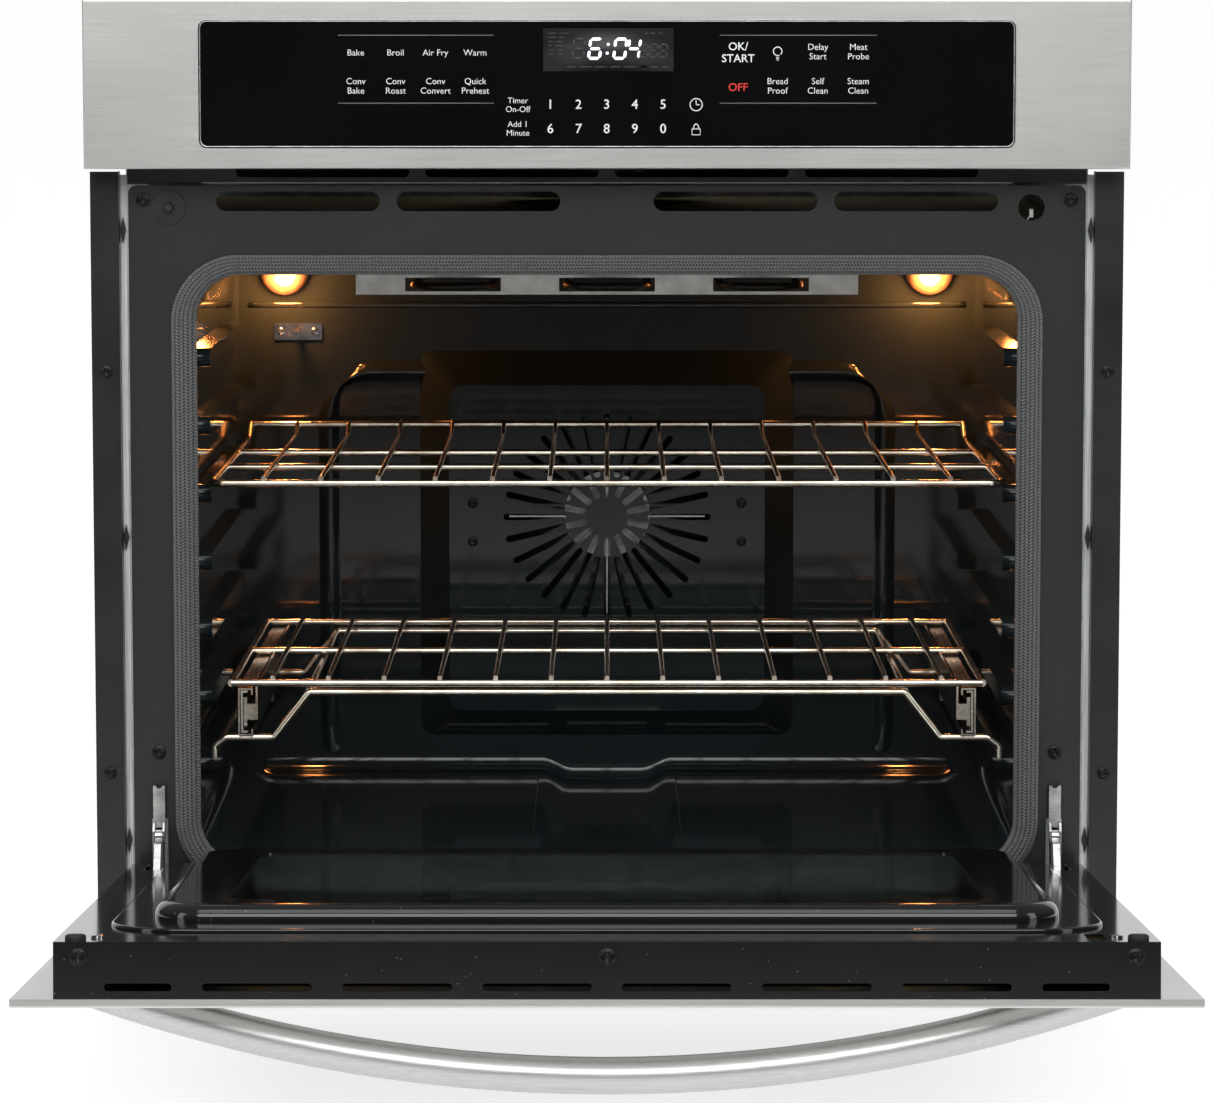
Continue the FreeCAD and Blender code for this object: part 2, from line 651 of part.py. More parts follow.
def build_door_gasket():
    """The woven seal round the cavity opening."""
    body = new_body("door_gasket")
    along_y(body, "Pad", "gasket_face", "frame_face",
        rounded("-gasket_half", "gasket_half", "62.6", "535.8", "50"))
    along_y(body, "Pocket", "gasket_face - 1", "frame_face + 1", rounded(
        "-gasket_half + gasket_wide", "gasket_half - gasket_wide", "80.6", "521.1", "33"))
    dress(body, "Fillet", "2.5", at_y("gasket_face"))


def build_fan_cover():
    """The raised cover over the convection fan: sloped sides and two rings of radial slots."""
    body = new_body("fan_cover")
    foot = rounded("-157", "157", "108 - fan_high", "433.6 - fan_high", "12")
    crown = rounded("-132", "132", "132 - fan_high", "406.1 - fan_high", "12")
    foot_inside = rounded("-155.3", "155.3", "109.7 - fan_high", "431.9 - fan_high", "11")
    crown_inside = rounded("-131.4", "131.4", "132.6 - fan_high", "405.5 - fan_high", "11")
    lofts = (
        ("AdditiveLoft", "-cavity_back", "-cavity_back + cover_deep", foot, crown),
        ("SubtractiveLoft", "-cavity_back", "-cavity_back + cover_deep - sheet", foot_inside, crown_inside),
    )
    for kind, base_offset, top_offset, base, top in lofts:
        feature = body.newObject(f"PartDesign::{kind}", f"{body.Name}_{kind.lower()}")
        feature.Profile = new_sketch(body, "XZ_Plane", base_offset, base)
        feature.Sections = [new_sketch(body, "XZ_Plane", top_offset, top)]
        feature.Ruled = True
        doc.recompute()
    front, back = "cavity_back - cover_deep - 1", "cavity_back - cover_deep + sheet + 1"
    slots = 14
    long_slot = along_y(body, "Pocket", front, back, standing_slot("0", "51.9", "69.8", "5.4"))
    turned(body, long_slot, "Y_Axis", slots)
    half_step = math.pi / slots
    across, up = math.sin(half_step), math.cos(half_step)
    short_slot = along_y(body, "Pocket", front, back, rounded_slot(
        f"{across * 36.7:.4f}", f"{up * 36.7:.4f}", f"{across * 84.1:.4f}", f"{up * 84.1:.4f}", "2.7"))
    turned(body, short_slot, "Y_Axis", slots)
    screws = [disc(f"{side} * 112.5", f"{high} - fan_high", "2.2")
              for side in SIDES for high in (307.6, 275.1)]
    along_y(body, "Pocket", front, back, *screws)
    along_y(body, "Pocket", front, "cavity_back - cover_deep + 0.5", disc("0", "0", "94.6"),
        disc("0", "0", "92.2"))
    moved(body, z="fan_high")


def build_convection_element():
    """A ring heater round the fan with two legs through the back of the recess."""
    ring, tube = 96.0, 3.2
    away, high, exit_away = 480.0, size_of("fan_high"), 545.0
    gap = 12.0
    legs_high = high + math.sqrt(ring**2 - gap**2)
    centre = Vector(0, away, high)
    arc = Part.Arc(Vector(gap, away, legs_high), centre + Vector(0, 0, -ring),
        Vector(-gap, away, legs_high)).toShape()
    path = Part.Wire(arc)
    section = Part.Wire(Part.Circle(Vector(gap, away, legs_high), arc.tangentAt(arc.FirstParameter),
        tube).toShape())
    parts = [path.makePipeShell([section], True, False)]
    for side in SIDES:
        corner = (side * gap, away, legs_high)
        parts.append(Part.makeSphere(tube, Vector(*corner)))
        parts.append(straight_rod(corner, (side * gap, exit_away, legs_high), tube))
    formed("convection_element", welded(parts))


def build_broil_element():
    """A serpentine heater under the ceiling whose front bends reach through its bracket."""
    front, back, exit_away, high = 150.0, 440.0, 525.0, 505.0
    lanes = (149.0, 89.0, 31.0, -31.0, -89.0, -149.0)
    points = [(lanes[0], exit_away, high), (lanes[0], front, high)]
    for place, lane in enumerate(lanes[1:-1]):
        turn_at, next_turn = (front, back) if place % 2 == 0 else (back, front)
        points += [(lane, turn_at, high), (lane, next_turn, high)]
    points += [(lanes[-1], front, high), (lanes[-1], exit_away, high)]
    formed("broil_element", bent_rod(points, 28.0, 3.2))


def build_broil_bracket():
    """The steel strip across the ceiling that the broil element's bends rest in."""
    body = new_body("broil_bracket")
    along_y(body, "Pad", "165", "165 + sheet", box("-194", "194", "498", "cavity_top"))
    along_y(body, "Pad", "165", "181", box("-194", "194", "cavity_top - sheet", "cavity_top"))
    windows = [box(f"{x} - 37", f"{x} + 37", "500.4", "511") for x in (-119, 0, 119)]
    along_y(body, "Pocket", "164", "167", *windows)


def build_bake_element():
    """The heater hidden under the cavity floor, looped round the floor basin."""
    high, exit_away, front, back = 69.5, 545.0, 100.0, 440.0
    half = [(90, exit_away), (90, front), (180, front), (180, back), (270, back), (270, 30.0)]
    points = [(x, y, high) for x, y in half] + [(-x, y, high) for x, y in reversed(half)]
    formed("bake_element", bent_rod(points, 28.0, 3.2))


def build_lamps():
    """Two cavity lamps: glass caps over bulbs in ceramic sockets."""
    caps = new_body("lamp_lenses")
    spots = [(f"{side} * lamp_across", "lamp_high") for side in SIDES]
    along_y(caps, "Pad", "cavity_back - 13", "cavity_back", *[disc(*spot, "20") for spot in spots])
    dress(caps, "Fillet", "9", at_y("cavity_back - 13"))
    along_y(caps, "Pocket", "cavity_back - 10.5", "cavity_back + 1", *[disc(*spot, "14") for spot in spots])
    sockets = new_body("lamp_sockets")
    along_y(sockets, "Pad", "cavity_back", "cavity_back + 36", *[disc(*spot, "16.6") for spot in spots])
    along_y(sockets, "Pocket", "cavity_back - 1", "cavity_back + 24", *[disc(*spot, "9") for spot in spots])
    bulbs = new_body("lamp_bulbs")
    along_y(bulbs, "Pad", "cavity_back - 8", "cavity_back + 24", *[disc(*spot, "6") for spot in spots])
    dress(bulbs, "Fillet", "4.5", at_y("cavity_back - 8"))


def build_temperature_sensor():
    """The cavity's temperature probe on its small plate."""
    body = new_body("temperature_sensor")
    along_y(body, "Pad", "cavity_back - 1.5", "cavity_back", rounded("-279", "-239", "442.6", "456.6", "1.5"))
    along_y(body, "Pad", "cavity_back - 40", "cavity_back + 40", disc("-259", "449.6", "2.4"))


# ---------------------------------------------------------------- fans


def build_convection_fan():
    """The stirring fan behind its cover, and the motor that carries its shaft."""
    motor = new_body("fan_motor")
    along_y(motor, "Pad", "recess_back + sheet", "575", disc("0", "fan_high", "36"))
    along_y(motor, "Pad", "recess_back + sheet", "recess_back + sheet + 3", rounded(
        "-45", "45", "fan_high - 45", "fan_high + 45", "8"))
    along_y(motor, "Pocket", "recess_back", "560", disc("0", "fan_high", "shaft + running"))
    wheel = new_body("fan_wheel")
    along_y(wheel, "Pad", "14", "15.2", disc("0", "0", "36"))
    along_y(wheel, "Pad", "-8", "15", disc("0", "0", "11"))
    along_y(wheel, "Pad", "0", "80", disc("0", "0", "shaft"))
    blade = along_y(wheel, "Pad", "-6", "14.5", box("-0.6", "0.6", "9", "82"))
    turned(wheel, blade, "Y_Axis", 8)
    moved(wheel, y="474", z="fan_high")


def build_cooling_blower():
    """The blower over the cavity: a scroll and duct to the louvre, a wheel and a motor."""
    housing = new_body("blower_housing")
    duct = polygon(("-60", "440"), ("-300", "120"), ("-300", "12"), ("300", "12"), ("300", "120"),
        ("60", "440"))
    duct_inside = polygon(
        ("-58.8", "440"), ("-298.8", "119.6"), ("-298.8", "11"), ("298.8", "11"), ("298.8", "119.6"),
            ("58.8", "440"))
    along_z(housing, "Pad", "566", "628", disc("0", "blower_away", "88"))
    along_z(housing, "Pad", "588.5", "606", duct)
    along_z(housing, "Pocket", "566 + sheet", "628 - sheet", disc("0", "blower_away", "88 - sheet"))
    along_z(housing, "Pocket", "588.5 + sheet", "606 - sheet", duct_inside)
    along_z(housing, "Pocket", "628 - sheet - 1", "629", disc("0", "blower_away", "45"))
    wheel = new_body("blower_wheel")
    along_z(wheel, "Pad", "0", "sheet", disc("0", "0", "72"))
    along_z(wheel, "Pad", "0", "20", disc("0", "0", "10"))
    along_z(wheel, "Pad", "0", "110", disc("0", "0", "shaft"))
    blade = along_z(wheel, "Pad", "0", "44", box("-0.6", "0.6", "50", "71"))
    turned(wheel, blade, "Z_Axis", 20)
    moved(wheel, y="blower_away", z="572")
    motor = new_body("blower_motor")
    along_z(motor, "Pad", "650", "696", disc("0", "blower_away", "30"))
    along_z(motor, "Pad", "650", "652", disc("0", "blower_away", "66"))
    legs = [disc(f"60 * {math.cos(turn):.6f}", f"blower_away + 60 * {math.sin(turn):.6f}", "4")
            for turn in (0.0, 2 * math.pi / 3, 4 * math.pi / 3)]
    along_z(motor, "Pad", "628", "651", *legs)
    along_z(motor, "Pocket", "649", "685", disc("0", "blower_away", "shaft + running"))


def build_control_board():
    """The power board hung under the top sheet, with its relays and transformer."""
    body = new_body("control_board")
    along_z(body, "Pad", "660", "661.6", box("150", "320", "200", "420"))
    relays = [box(f"{x}", f"{x + 20}", f"{y}", f"{y + 26}") for x in (165, 200, 235) for y in (220, 260)]
    along_z(body, "Pad", "644", "660.5", *relays, box("180", "240", "320", "370"))
    posts = [disc(f"{x}", f"{y}", "4") for x in (158, 312) for y in (208, 412)]
    along_z(body, "Pad", "661", "body_high - sheet", *posts)


# ---------------------------------------------------------------- latch, switch and hinges


def build_door_lock():
    """The cleaning-cycle lock: a geared motor with a pivot pin, and a curved claw on it."""
    pivot_away, pivot_high = "16", "530"
    motor = new_body("latch_motor")
    along_x(motor, "Pad", "318", "320", box("12", "60", "523", "560"))
    along_x(motor, "Pad", "319", "346", box("16", "58", "534", "556"))
    along_x(motor, "Pad", "310.4", "319", disc(pivot_away, pivot_high, "3"))
    claw = new_body("latch_hook")
    front, back = "-1.4", "1.4"
    tip, tail, reach = math.radians(9.5), math.radians(-52.0), 70.0
    tip_at = (f"{-reach * math.sin(tip):.4f}", f"{reach * math.cos(tip):.4f}")
    tail_at = (f"{-reach * math.sin(tail):.4f}", f"{reach * math.cos(tail):.4f}")
    along_x(claw, "Pad", front, back, disc("0", "0", "40"), disc("0", "0", "34"))
    along_x(claw, "Pocket", "-2", "2", polygon(
        ("0", "0"), tip_at, (f"-{reach}", tip_at[1]), (f"-{reach}", f"-{reach}"),
        (f"{reach}", f"-{reach}"), (f"{reach}", tail_at[1]), tail_at))
    along_x(claw, "Pad", front, back, rounded_slot("0", "0", "28.5", "23.2", "3.5"))
    along_x(claw, "Pad", front, back, disc("0", "0", "5"))
    along_x(claw, "Pocket", "-2", "2", disc("0", "0", "3 + running"))
    moved(claw, x="latch_across", y=pivot_away, z=pivot_high)


def build_door_switch():
    """The switch that the closed door presses, and its plunger."""
    switch = new_body("door_switch")
    button = disc("-switch_across", "latch_high", "12.6")
    along_y(switch, "Pad", "7.6", "body_front + 0.5", button)
    along_y(switch, "Pad", "body_front + 0.3", "40", box("-337.5", "-311", "558.5", "583"))
    along_y(switch, "Pocket", "7", "38.5", disc("-switch_across", "latch_high", "3.5 + running"))
    plunger = new_body("switch_plunger")
    along_y(plunger, "Pad", "1.4", "34", disc("-switch_across", "latch_high", "3.5"))
    dress(plunger, "Fillet", "1.2", at_y("1.4"))


def build_hinges():
    """Both door hinges: receivers, hooked arms and their locks, and the door's channels, pins and springs."""
    pivot_away, pivot_high = "0.5", "102"
    receivers = new_body("hinge_receivers")
    arms = new_body("hinge_arms")
    channels = new_body("hinge_channels")
    pins = new_body("hinge_pins")
    springs = new_body("hinge_springs")
    blade = polygon(
        ("-24", "74"), ("-12", "98"), ("6", "100"), ("38", "100"), ("38", "76"), ("28.5", "76"),
        ("28.5", "87.4"), ("21.5", "87.4"), ("21.5", "80"), ("4", "80"), ("-9", "66"))
    for side in SIDES:
        def across(reach, side=side):
            return on_side(side, f"hinge_across - {reach}", f"hinge_across + {reach}")
        along_x(receivers, "Pad", *across("6"), box("body_front + 0.2", "45", "66", "136"))
        along_x(receivers, "Pocket", *across("3.2"), box("body_front", "41", "70", "130"))
        along_x(receivers, "Pad", *across("4"), disc("25", "84", "3"))
        along_x(arms, "Pad", *across("2.5"), blade)
        along_x(arms, "Pad", *across("8.3"), disc("hinge_away", "hinge_high", "9"))
        along_x(arms, "Pad", *across("2.5"), disc(pivot_away, pivot_high, "4.5"))
        along_x(arms, "Pocket", *across("9"), disc("hinge_away", "hinge_high", "hinge_pin + running"))
        along_x(arms, "Pocket", *across("3"), disc(pivot_away, pivot_high, "2 + running"))
        along_x(channels, "Pad", *across("10.2"), box("-20", "12.5", "0", "200"))
        along_x(channels, "Pad", *across("10.2"), disc("0", "0", "11"))
        along_x(channels, "Pocket", *across("8.8"), box("-18.5", "13.5", "-12", "201"))
        along_x(channels, "Pocket", *across("11"), disc("0", "0", "hinge_pin"))
        along_x(pins, "Pad", *across("10.8"), disc("0", "0", "hinge_pin"))
        along_z(springs, "Pad", "30", "185", disc(f"{side} * hinge_across", "-6", "6.5"),
                disc(f"{side} * hinge_across", "-6", "4.5"))
        lock = new_body("hinge_lock_left" if side < 0 else "hinge_lock_right")
        along_x(lock, "Pad", "-4.4", "4.4", box("3", "4.5", "6", "37.6"))
        ear = polygon(("-4", "-4"), ("4.5", "-4"), ("4.5", "10"), ("-1", "10"), ("-4", "4"))
        along_x(lock, "Pad", "-4.4", "-3", ear)
        along_x(lock, "Pad", "3", "4.4", ear)
        along_x(lock, "Pad", "-4", "4", disc("0", "0", "2"))
        along_y(lock, "Pocket", "2", "5", disc("0", "38.2", "2.6"))
        moved(lock, x=f"{side} * hinge_across", y=pivot_away, z=pivot_high)
    for piece in (channels, pins, springs):
        hung(piece)


# ---------------------------------------------------------------- door


def build_door_skin():
    """The brushed steel front of the door: a hemmed plate with a window."""
    body = new_body("door_skin")
    along_y(body, "Pad", "door_front", "skin_back", box("-trim_half", "trim_half", "skin_low", "door_top"))
    dress(body, "Fillet", "1.5", at_y("door_front"))
    along_y(body, "Pocket", "door_front + 1", "skin_back + 1", box(
        "-liner_half + 2", "liner_half - 2", "liner_low + 1.6", "door_top - 1.4"))
    bolts = [disc(f"{side} * 318", "handle_high", "3") for side in SIDES]
    along_y(body, "Pocket", "door_front - 1", "door_front + 2", rounded("-270", "270", "105", "400", "8"),
        *bolts)
    hung(body)


def build_door_glasses():
    """The black outer glass, two clear inner panes and the ring that holds the panes."""
    outer = new_body("door_glass_outer")
    along_y(outer, "Pad", "door_front + 1", "door_front + 5", rounded("-285", "285", "90", "415", "10"))
    panes = new_body("door_inner_panes")
    for back in ("plug_face - 5.2", "plug_face - 24"):
        along_y(panes, "Pad", back, f"{back} + 4", rounded("-262", "262", "50", "405", "12"))
    ring = new_body("glass_retainer")
    along_y(ring, "Pad", "plug_face - 26", "plug_face - sheet", rounded("-280", "280", "34", "420", "14"))
    along_y(ring, "Pocket", "plug_face - 27", "plug_face", rounded("-262", "262", "50", "405", "12"))
    for piece in (outer, panes, ring):
        hung(piece)


def build_door_liner():
    """The porcelain inner pan of the door: flange, gasket land, raised plug and window."""
    body = new_body("door_liner")
    corner_round = 12.0

    def hinge_corner(edge):
        reach = edge.BoundBox
        return reach.YMin > size_of("flange_face") - 0.1 and reach.ZMax < size_of("liner_low") + 0.1
    along_y(body, "Pad", "skin_back", "flange_face",
        box("-liner_half", "liner_half", "liner_low", "door_top"))
    dress(body, "Fillet", f"{corner_round}", hinge_corner)
    along_y(body, "Pad", "flange_face - 1", "land_face",
        rounded("-land_half", "land_half", "1", "land_top", "52"))
    dress(body, "Fillet", "1.5", at_y("land_face"))
    along_y(body, "Pad", "land_face - 1", "plug_face",
        rounded("-plug_half", "plug_half", "plug_low", "plug_top", "38"))
    dress(body, "Fillet", "10", at_y("plug_face"))
    wall, half = "sheet", "liner_half - sheet"
    along_x(body, "Pocket", f"-({half})", half, box(
        "skin_back - 1", f"flange_face - {wall}", f"liner_low + {corner_round}", f"door_top - {wall}"))
    along_x(body, "Pocket", f"-({half})", half, box(
        "skin_back - 1", f"flange_face - {corner_round}", f"liner_low + {wall}",
            f"liner_low + {corner_round} + 1"))
    along_x(body, "Pocket", f"-({half})", half, disc(
        f"flange_face - {corner_round}", f"liner_low + {corner_round}", f"{corner_round} - {wall}"))
    along_y(body, "Pocket", "flange_face - 2", f"land_face - {wall}", rounded(
        f"-land_half + {wall}", f"land_half - {wall}", f"1 + {wall}", f"land_top - {wall}", "50"))
    for inset, depth, bend in ((wall, "10", "36"), ("8.2", wall, "29")):
        along_y(body, "Pocket", "land_face - 2", f"plug_face - {depth}", rounded(
            f"-plug_half + {inset}", f"plug_half - {inset}", f"plug_low + {inset}", f"plug_top - {inset}",
                bend))
    along_y(body, "Pocket", "plug_face - 2", "plug_face + 1", rounded(
        "-window_half", "window_half", "window_low", "window_top", "12"))
    lengths = {44.4: 70, 133.7: 70, 223.0: 70, 299.0: 43}
    slots = [lying_slot(f"{side * x}", "skin_back + 7.7", f"{length}", "5")
             for x, length in lengths.items() for side in SIDES]
    slots_and_screws = slots + [disc(f"{x}", "skin_back + 27", "2.2") for x in (-337, 0, 337)]
    along_z(body, "Pocket", "door_top - 3", "door_top + 1", *slots_and_screws)
    arms = [box(*on_side(side, "hinge_across - 6.5", "hinge_across + 6.5"), "liner_low - 1",
        "48") for side in SIDES]
    screws = [disc(f"{side} * 327", "502.7", "2") for side in SIDES]
    along_y(body, "Pocket", "0", "flange_face + 1", rounded(
        "latch_across - 6", "latch_across + 6", "482", "514", "2"), *arms, *screws)
    hung(body)


def build_door_insulation():
    """The glass wool between the door's skin and its liner, round the panes."""
    body = new_body("door_insulation")
    along_y(body, "Pad", "-18", "flange_face - sheet - 0.5", box("-322", "322", "4", "468"))
    along_y(body, "Pocket", "-19", "flange_face + 1", rounded("-281", "281", "33", "421", "14"))
    hung(body)


def build_door_handle():
    """The bowed tube across the door's front and the two bolts that hold it."""
    bow, arc = size_of("handle_bow"), size_of("handle_arc")
    front, high = size_of("door_front"), size_of("handle_high")
    centre = Vector(0, front - bow + arc, high)
    spread = math.asin(372.0 / arc)
    ends = [centre + Vector(side * arc * math.sin(spread), -arc * math.cos(spread), 0) for side in SIDES]
    path = Part.Wire(Part.Arc(ends[0], centre + Vector(0, -arc, 0), ends[1]).toShape())
    heading = path.Edges[0].tangentAt(path.Edges[0].FirstParameter)
    section = Part.Wire(Part.Circle(ends[0], heading, size_of("handle_round")).toShape())
    bar = path.makePipeShell([section], True, False)
    behind = Part.makeBox(900, 80, 80, Vector(-450, front, high - 40))
    bores = [straight_rod((side * 318, front - 8, high), (side * 318, front + 1, high),
        3.0) for side in SIDES]
    handle = formed("door_handle", bar.cut([behind] + bores).Solids[0])
    bolts = new_body("handle_bolts")
    shanks = [disc(f"{side} * 318", "handle_high", "3") for side in SIDES]
    heads = [disc(f"{side} * 318", "handle_high", "6") for side in SIDES]
    along_y(bolts, "Pad", "door_front - 8", "door_front + 1.5", *shanks)
    along_y(bolts, "Pad", "door_front + 1", "door_front + 4.5", *heads)
    for piece in (handle, bolts):
        hung(piece)


def build_door_trim():
    """The rubber bumpers on the door's flange and the door's screws."""
    bumpers = new_body("door_bumpers")
    spots = [(f"{side} * 340", "514") for side in SIDES]
    along_y(bumpers, "Pad", "flange_face", "flange_face + 3.4", *[disc(*spot, "6.8") for spot in spots])
    dress(bumpers, "Fillet", "1.8", at_y("flange_face + 3.4"))
    screws = new_body("door_screws")
    spots = [(f"{side} * 327", "502.7") for side in SIDES]
    along_y(screws, "Pad", "flange_face - 8", "flange_face + 0.5", *[disc(*spot, "1.9") for spot in spots])
    along_y(screws, "Pad", "flange_face", "flange_face + 2.5", *[disc(*spot, "4.4") for spot in spots])
    spots = [(f"{x}", "skin_back + 27") for x in (-337, 0, 337)]
    along_z(screws, "Pad", "door_top - 10", "door_top + 0.5", *[disc(*spot, "2.1") for spot in spots])
    along_z(screws, "Pad", "door_top", "door_top + 1.8", *[disc(*spot, "5.7") for spot in spots])
    for piece in (bumpers, screws):
        hung(piece)


# ---------------------------------------------------------------- racks


def build_upper_rack():
    """The plain wire rack: a loop with a raised back rail, two cross rods and deck rods."""
    half, front, back = size_of("rack_half"), size_of("rack_front"), size_of("rack_back")
    high, frame, deck = size_of("rack_high"), size_of("frame_rod"), size_of("deck_rod")
    raised = high + 12.0
    loop = [(-half, back, raised), (-half, back - 22, high), (-half, front, high),
            (half, front, high), (half, back - 22, high), (half, back, raised)]
    rods = [bent_rod(loop, 9.0, frame)]
    rods += [straight_rod((-half - 1, back - 1, raised - 0.5), (half + 1, back - 1, raised - 0.5), frame)]
    rods += [straight_rod((-half, away, high), (half, away, high), frame) for away in (183.0, 313.0)]
    step = size_of("deck_pitch")
    for place in range(-6, 7):
        across, lift = place * step, frame + deck - 0.9
        rods.append(bent_rod([(across, front - 1, high + lift), (across, back - 24, high + lift),
                              (across, back + 0.5, raised + 1.5)], 9.0, deck))
    formed("upper_rack", welded(rods))


def build_glide_rack():
    """The gliding rack: a hooked wire frame with two slides, and the shelf that runs on them."""
    front, back = size_of("glide_front"), size_of("glide_back")
    frame, deck = size_of("frame_rod"), size_of("deck_rod")
    inner, outer = size_of("slide_inner"), size_of("slide_outer")
    low, high = size_of("slide_low"), size_of("slide_high")
    level, cradle, hook = 204.6, low - frame + 0.6, 300.0
    rods = []
    for away in (front, back - 12):
        half_path = [(225, level), (252, cradle), (288, cradle), (hook - 3.2, 163.4), (hook - 3.2, 154.6)]
        points = [(-x, away, z) for x, z in reversed(half_path)] + [(x, away, z) for x, z in half_path]
        rods.append(bent_rod(points, 5.0, frame))
    ends = (front, back - 12)
    rods += [straight_rod((side * 225, ends[0], level), (side * 225, ends[1], level),
        frame) for side in SIDES]
    rods += [straight_rod((side * (hook - 3.2), ends[0], 157.4), (side * (hook - 3.2), ends[1], 157.4), frame)
             for side in SIDES]
    wall = 1.2
    for side in SIDES:
        def bar(x_low, x_high, z_low, z_high, side=side, start=front - 6.0, length=back - front):
            left = x_low if side > 0 else -x_high
            return Part.makeBox(x_high - x_low, length, z_high - z_low, Vector(left, start, z_low))
        channel = bar(inner, outer, low, high).cut(bar(inner - 1, outer - wall, low + wall, high - wall))
        lips = [bar(inner, inner + wall, low, low + 5), bar(inner, inner + wall, high - 5, high)]
        plate = bar(outer - 1, outer + 10, 146.0, low + 1, length=2.0, start=ends[1] - 1.0)
        rods += [channel.fuse(lips).Solids[0], plate]
    formed("glide_frame", welded(rods))
    middle, shelf_bars = [], []
    for side in SIDES:
        def member(x_low, x_high, z_low, z_high, side=side):
            left = x_low if side > 0 else -x_high
            return Part.makeBox(x_high - x_low, back - front - 8, z_high - z_low,
                Vector(left, front - 5, z_low))
        web = member(outer - 3.4, outer - 1.9, low + 2, high - 2)
        middle.append(web.fuse([member(outer - 7.0, outer - 2.5, low + 2, low + 3.5),
                                member(outer - 7.0, outer - 2.5, high - 3.5, high - 2)]).Solids[0])
        shelf_bars.append(member(outer - 6.6, outer - 4.0, low + 7, high - 7))
        shelf_bars.append(member(inner - 2.4, outer - 6.0, low + 12, high - 12))
        shelf_bars.append(member(inner - 3.6, inner - 2.2, low + 12, high + 1.6))
    formed("glide_slides", Part.makeCompound(middle))
    shelf_high, half = size_of("glide_high"), size_of("glide_half")
    rods = list(shelf_bars)
    for away in (front - 4, 234.0, back - 10):
        rods.append(straight_rod((-half, away, shelf_high), (half, away, shelf_high), frame))
    rods += [straight_rod((side * half, front - 5, shelf_high), (side * half, back - 9, shelf_high), frame)
             for side in SIDES]
    step = 42.0
    for place in range(-6, 7):
        lift = frame + deck - 0.9
        rods.append(straight_rod((place * step, front - 5, shelf_high + lift),
                                 (place * step, back - 9, shelf_high + lift), deck))
    formed("glide_shelf", welded(rods))


# ---------------------------------------------------------------- fasteners


def build_body_screws():
    """The screws of the front frame, the fan cover and the probe plate."""
    body = new_body("body_screws")
    frame = [(f"{side} * 343", "576.6") for side in SIDES] + [(f"{side} * 335", "164.1") for side in SIDES]
    cover = [(f"{side} * 112.5", f"{high}") for side in SIDES for high in (307.6, 275.1)]
    probe = [(f"{x}", "449.6") for x in (-273.5, -245)]
    along_y(body, "Pad", "frame_face - 0.5", "15", *[disc(*spot, "2.1") for spot in frame])
    along_y(body, "Pad", "frame_face - 2.5", "frame_face", *[disc(*spot, "5.2") for spot in frame])
    along_y(body, "Pad", "cavity_back - 24.5", "cavity_back - 18", *[disc(*spot, "2.1") for spot in cover])
    along_y(body, "Pad", "cavity_back - 26", "cavity_back - 24", *[disc(*spot, "3.6") for spot in cover])
    along_y(body, "Pad", "cavity_back - 3.5", "cavity_back - 1.5", *[disc(*spot, "3") for spot in probe])


BUILDERS = (
    build_base_pan,
    lambda: build_chassis_side(-1, "chassis_side_left"),
    lambda: build_chassis_side(1, "chassis_side_right"),
    build_chassis_top, build_chassis_back, build_cavity_liner, build_cavity_insulation, build_front_frame,
    lambda: build_side_trim(-1, "side_trim_left"),
    lambda: build_side_trim(1, "side_trim_right"),
    build_bottom_trim, build_mounting_channels, build_trim_spacers, build_panel_fascia, build_panel_glass,
    build_display_board, build_panel_support, build_vent_strip, build_door_gasket, build_fan_cover,
    build_convection_element, build_broil_element, build_broil_bracket, build_bake_element, build_lamps,
    build_temperature_sensor, build_convection_fan, build_cooling_blower, build_control_board,
    build_door_lock, build_door_switch, build_hinges, build_door_skin, build_door_glasses, build_door_liner,
    build_door_insulation, build_door_handle, build_door_trim, build_upper_rack, build_glide_rack,
    build_body_screws,
)

for build in BUILDERS:
    build()
doc.recompute()

for thing in doc.Objects:
    if "Invalid" in thing.State or "Error" in thing.State:
        raise RuntimeError(f"{thing.Label} failed: {thing.State}")

os.makedirs(PARTS_FOLDER, exist_ok=True)
for node in nodes:
    if node.Shape.isNull() or not node.Shape.isValid():
        raise RuntimeError(f"{node.Label} has no valid shape")
    node.Shape.exportStep(f"{PARTS_FOLDER}/{node.Label}.step")
print(f"{len(nodes)} nodes")
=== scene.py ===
"""The looks of a built-in wall oven: enamel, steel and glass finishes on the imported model,
and the pieces that need a finer surface, such as the woven gasket, screws and panel print."""
import json
import math

import bmesh
import bpy
import numpy as np
from bpy.props import FloatProperty, IntProperty, PointerProperty, StringProperty
from mathutils import Matrix, Vector


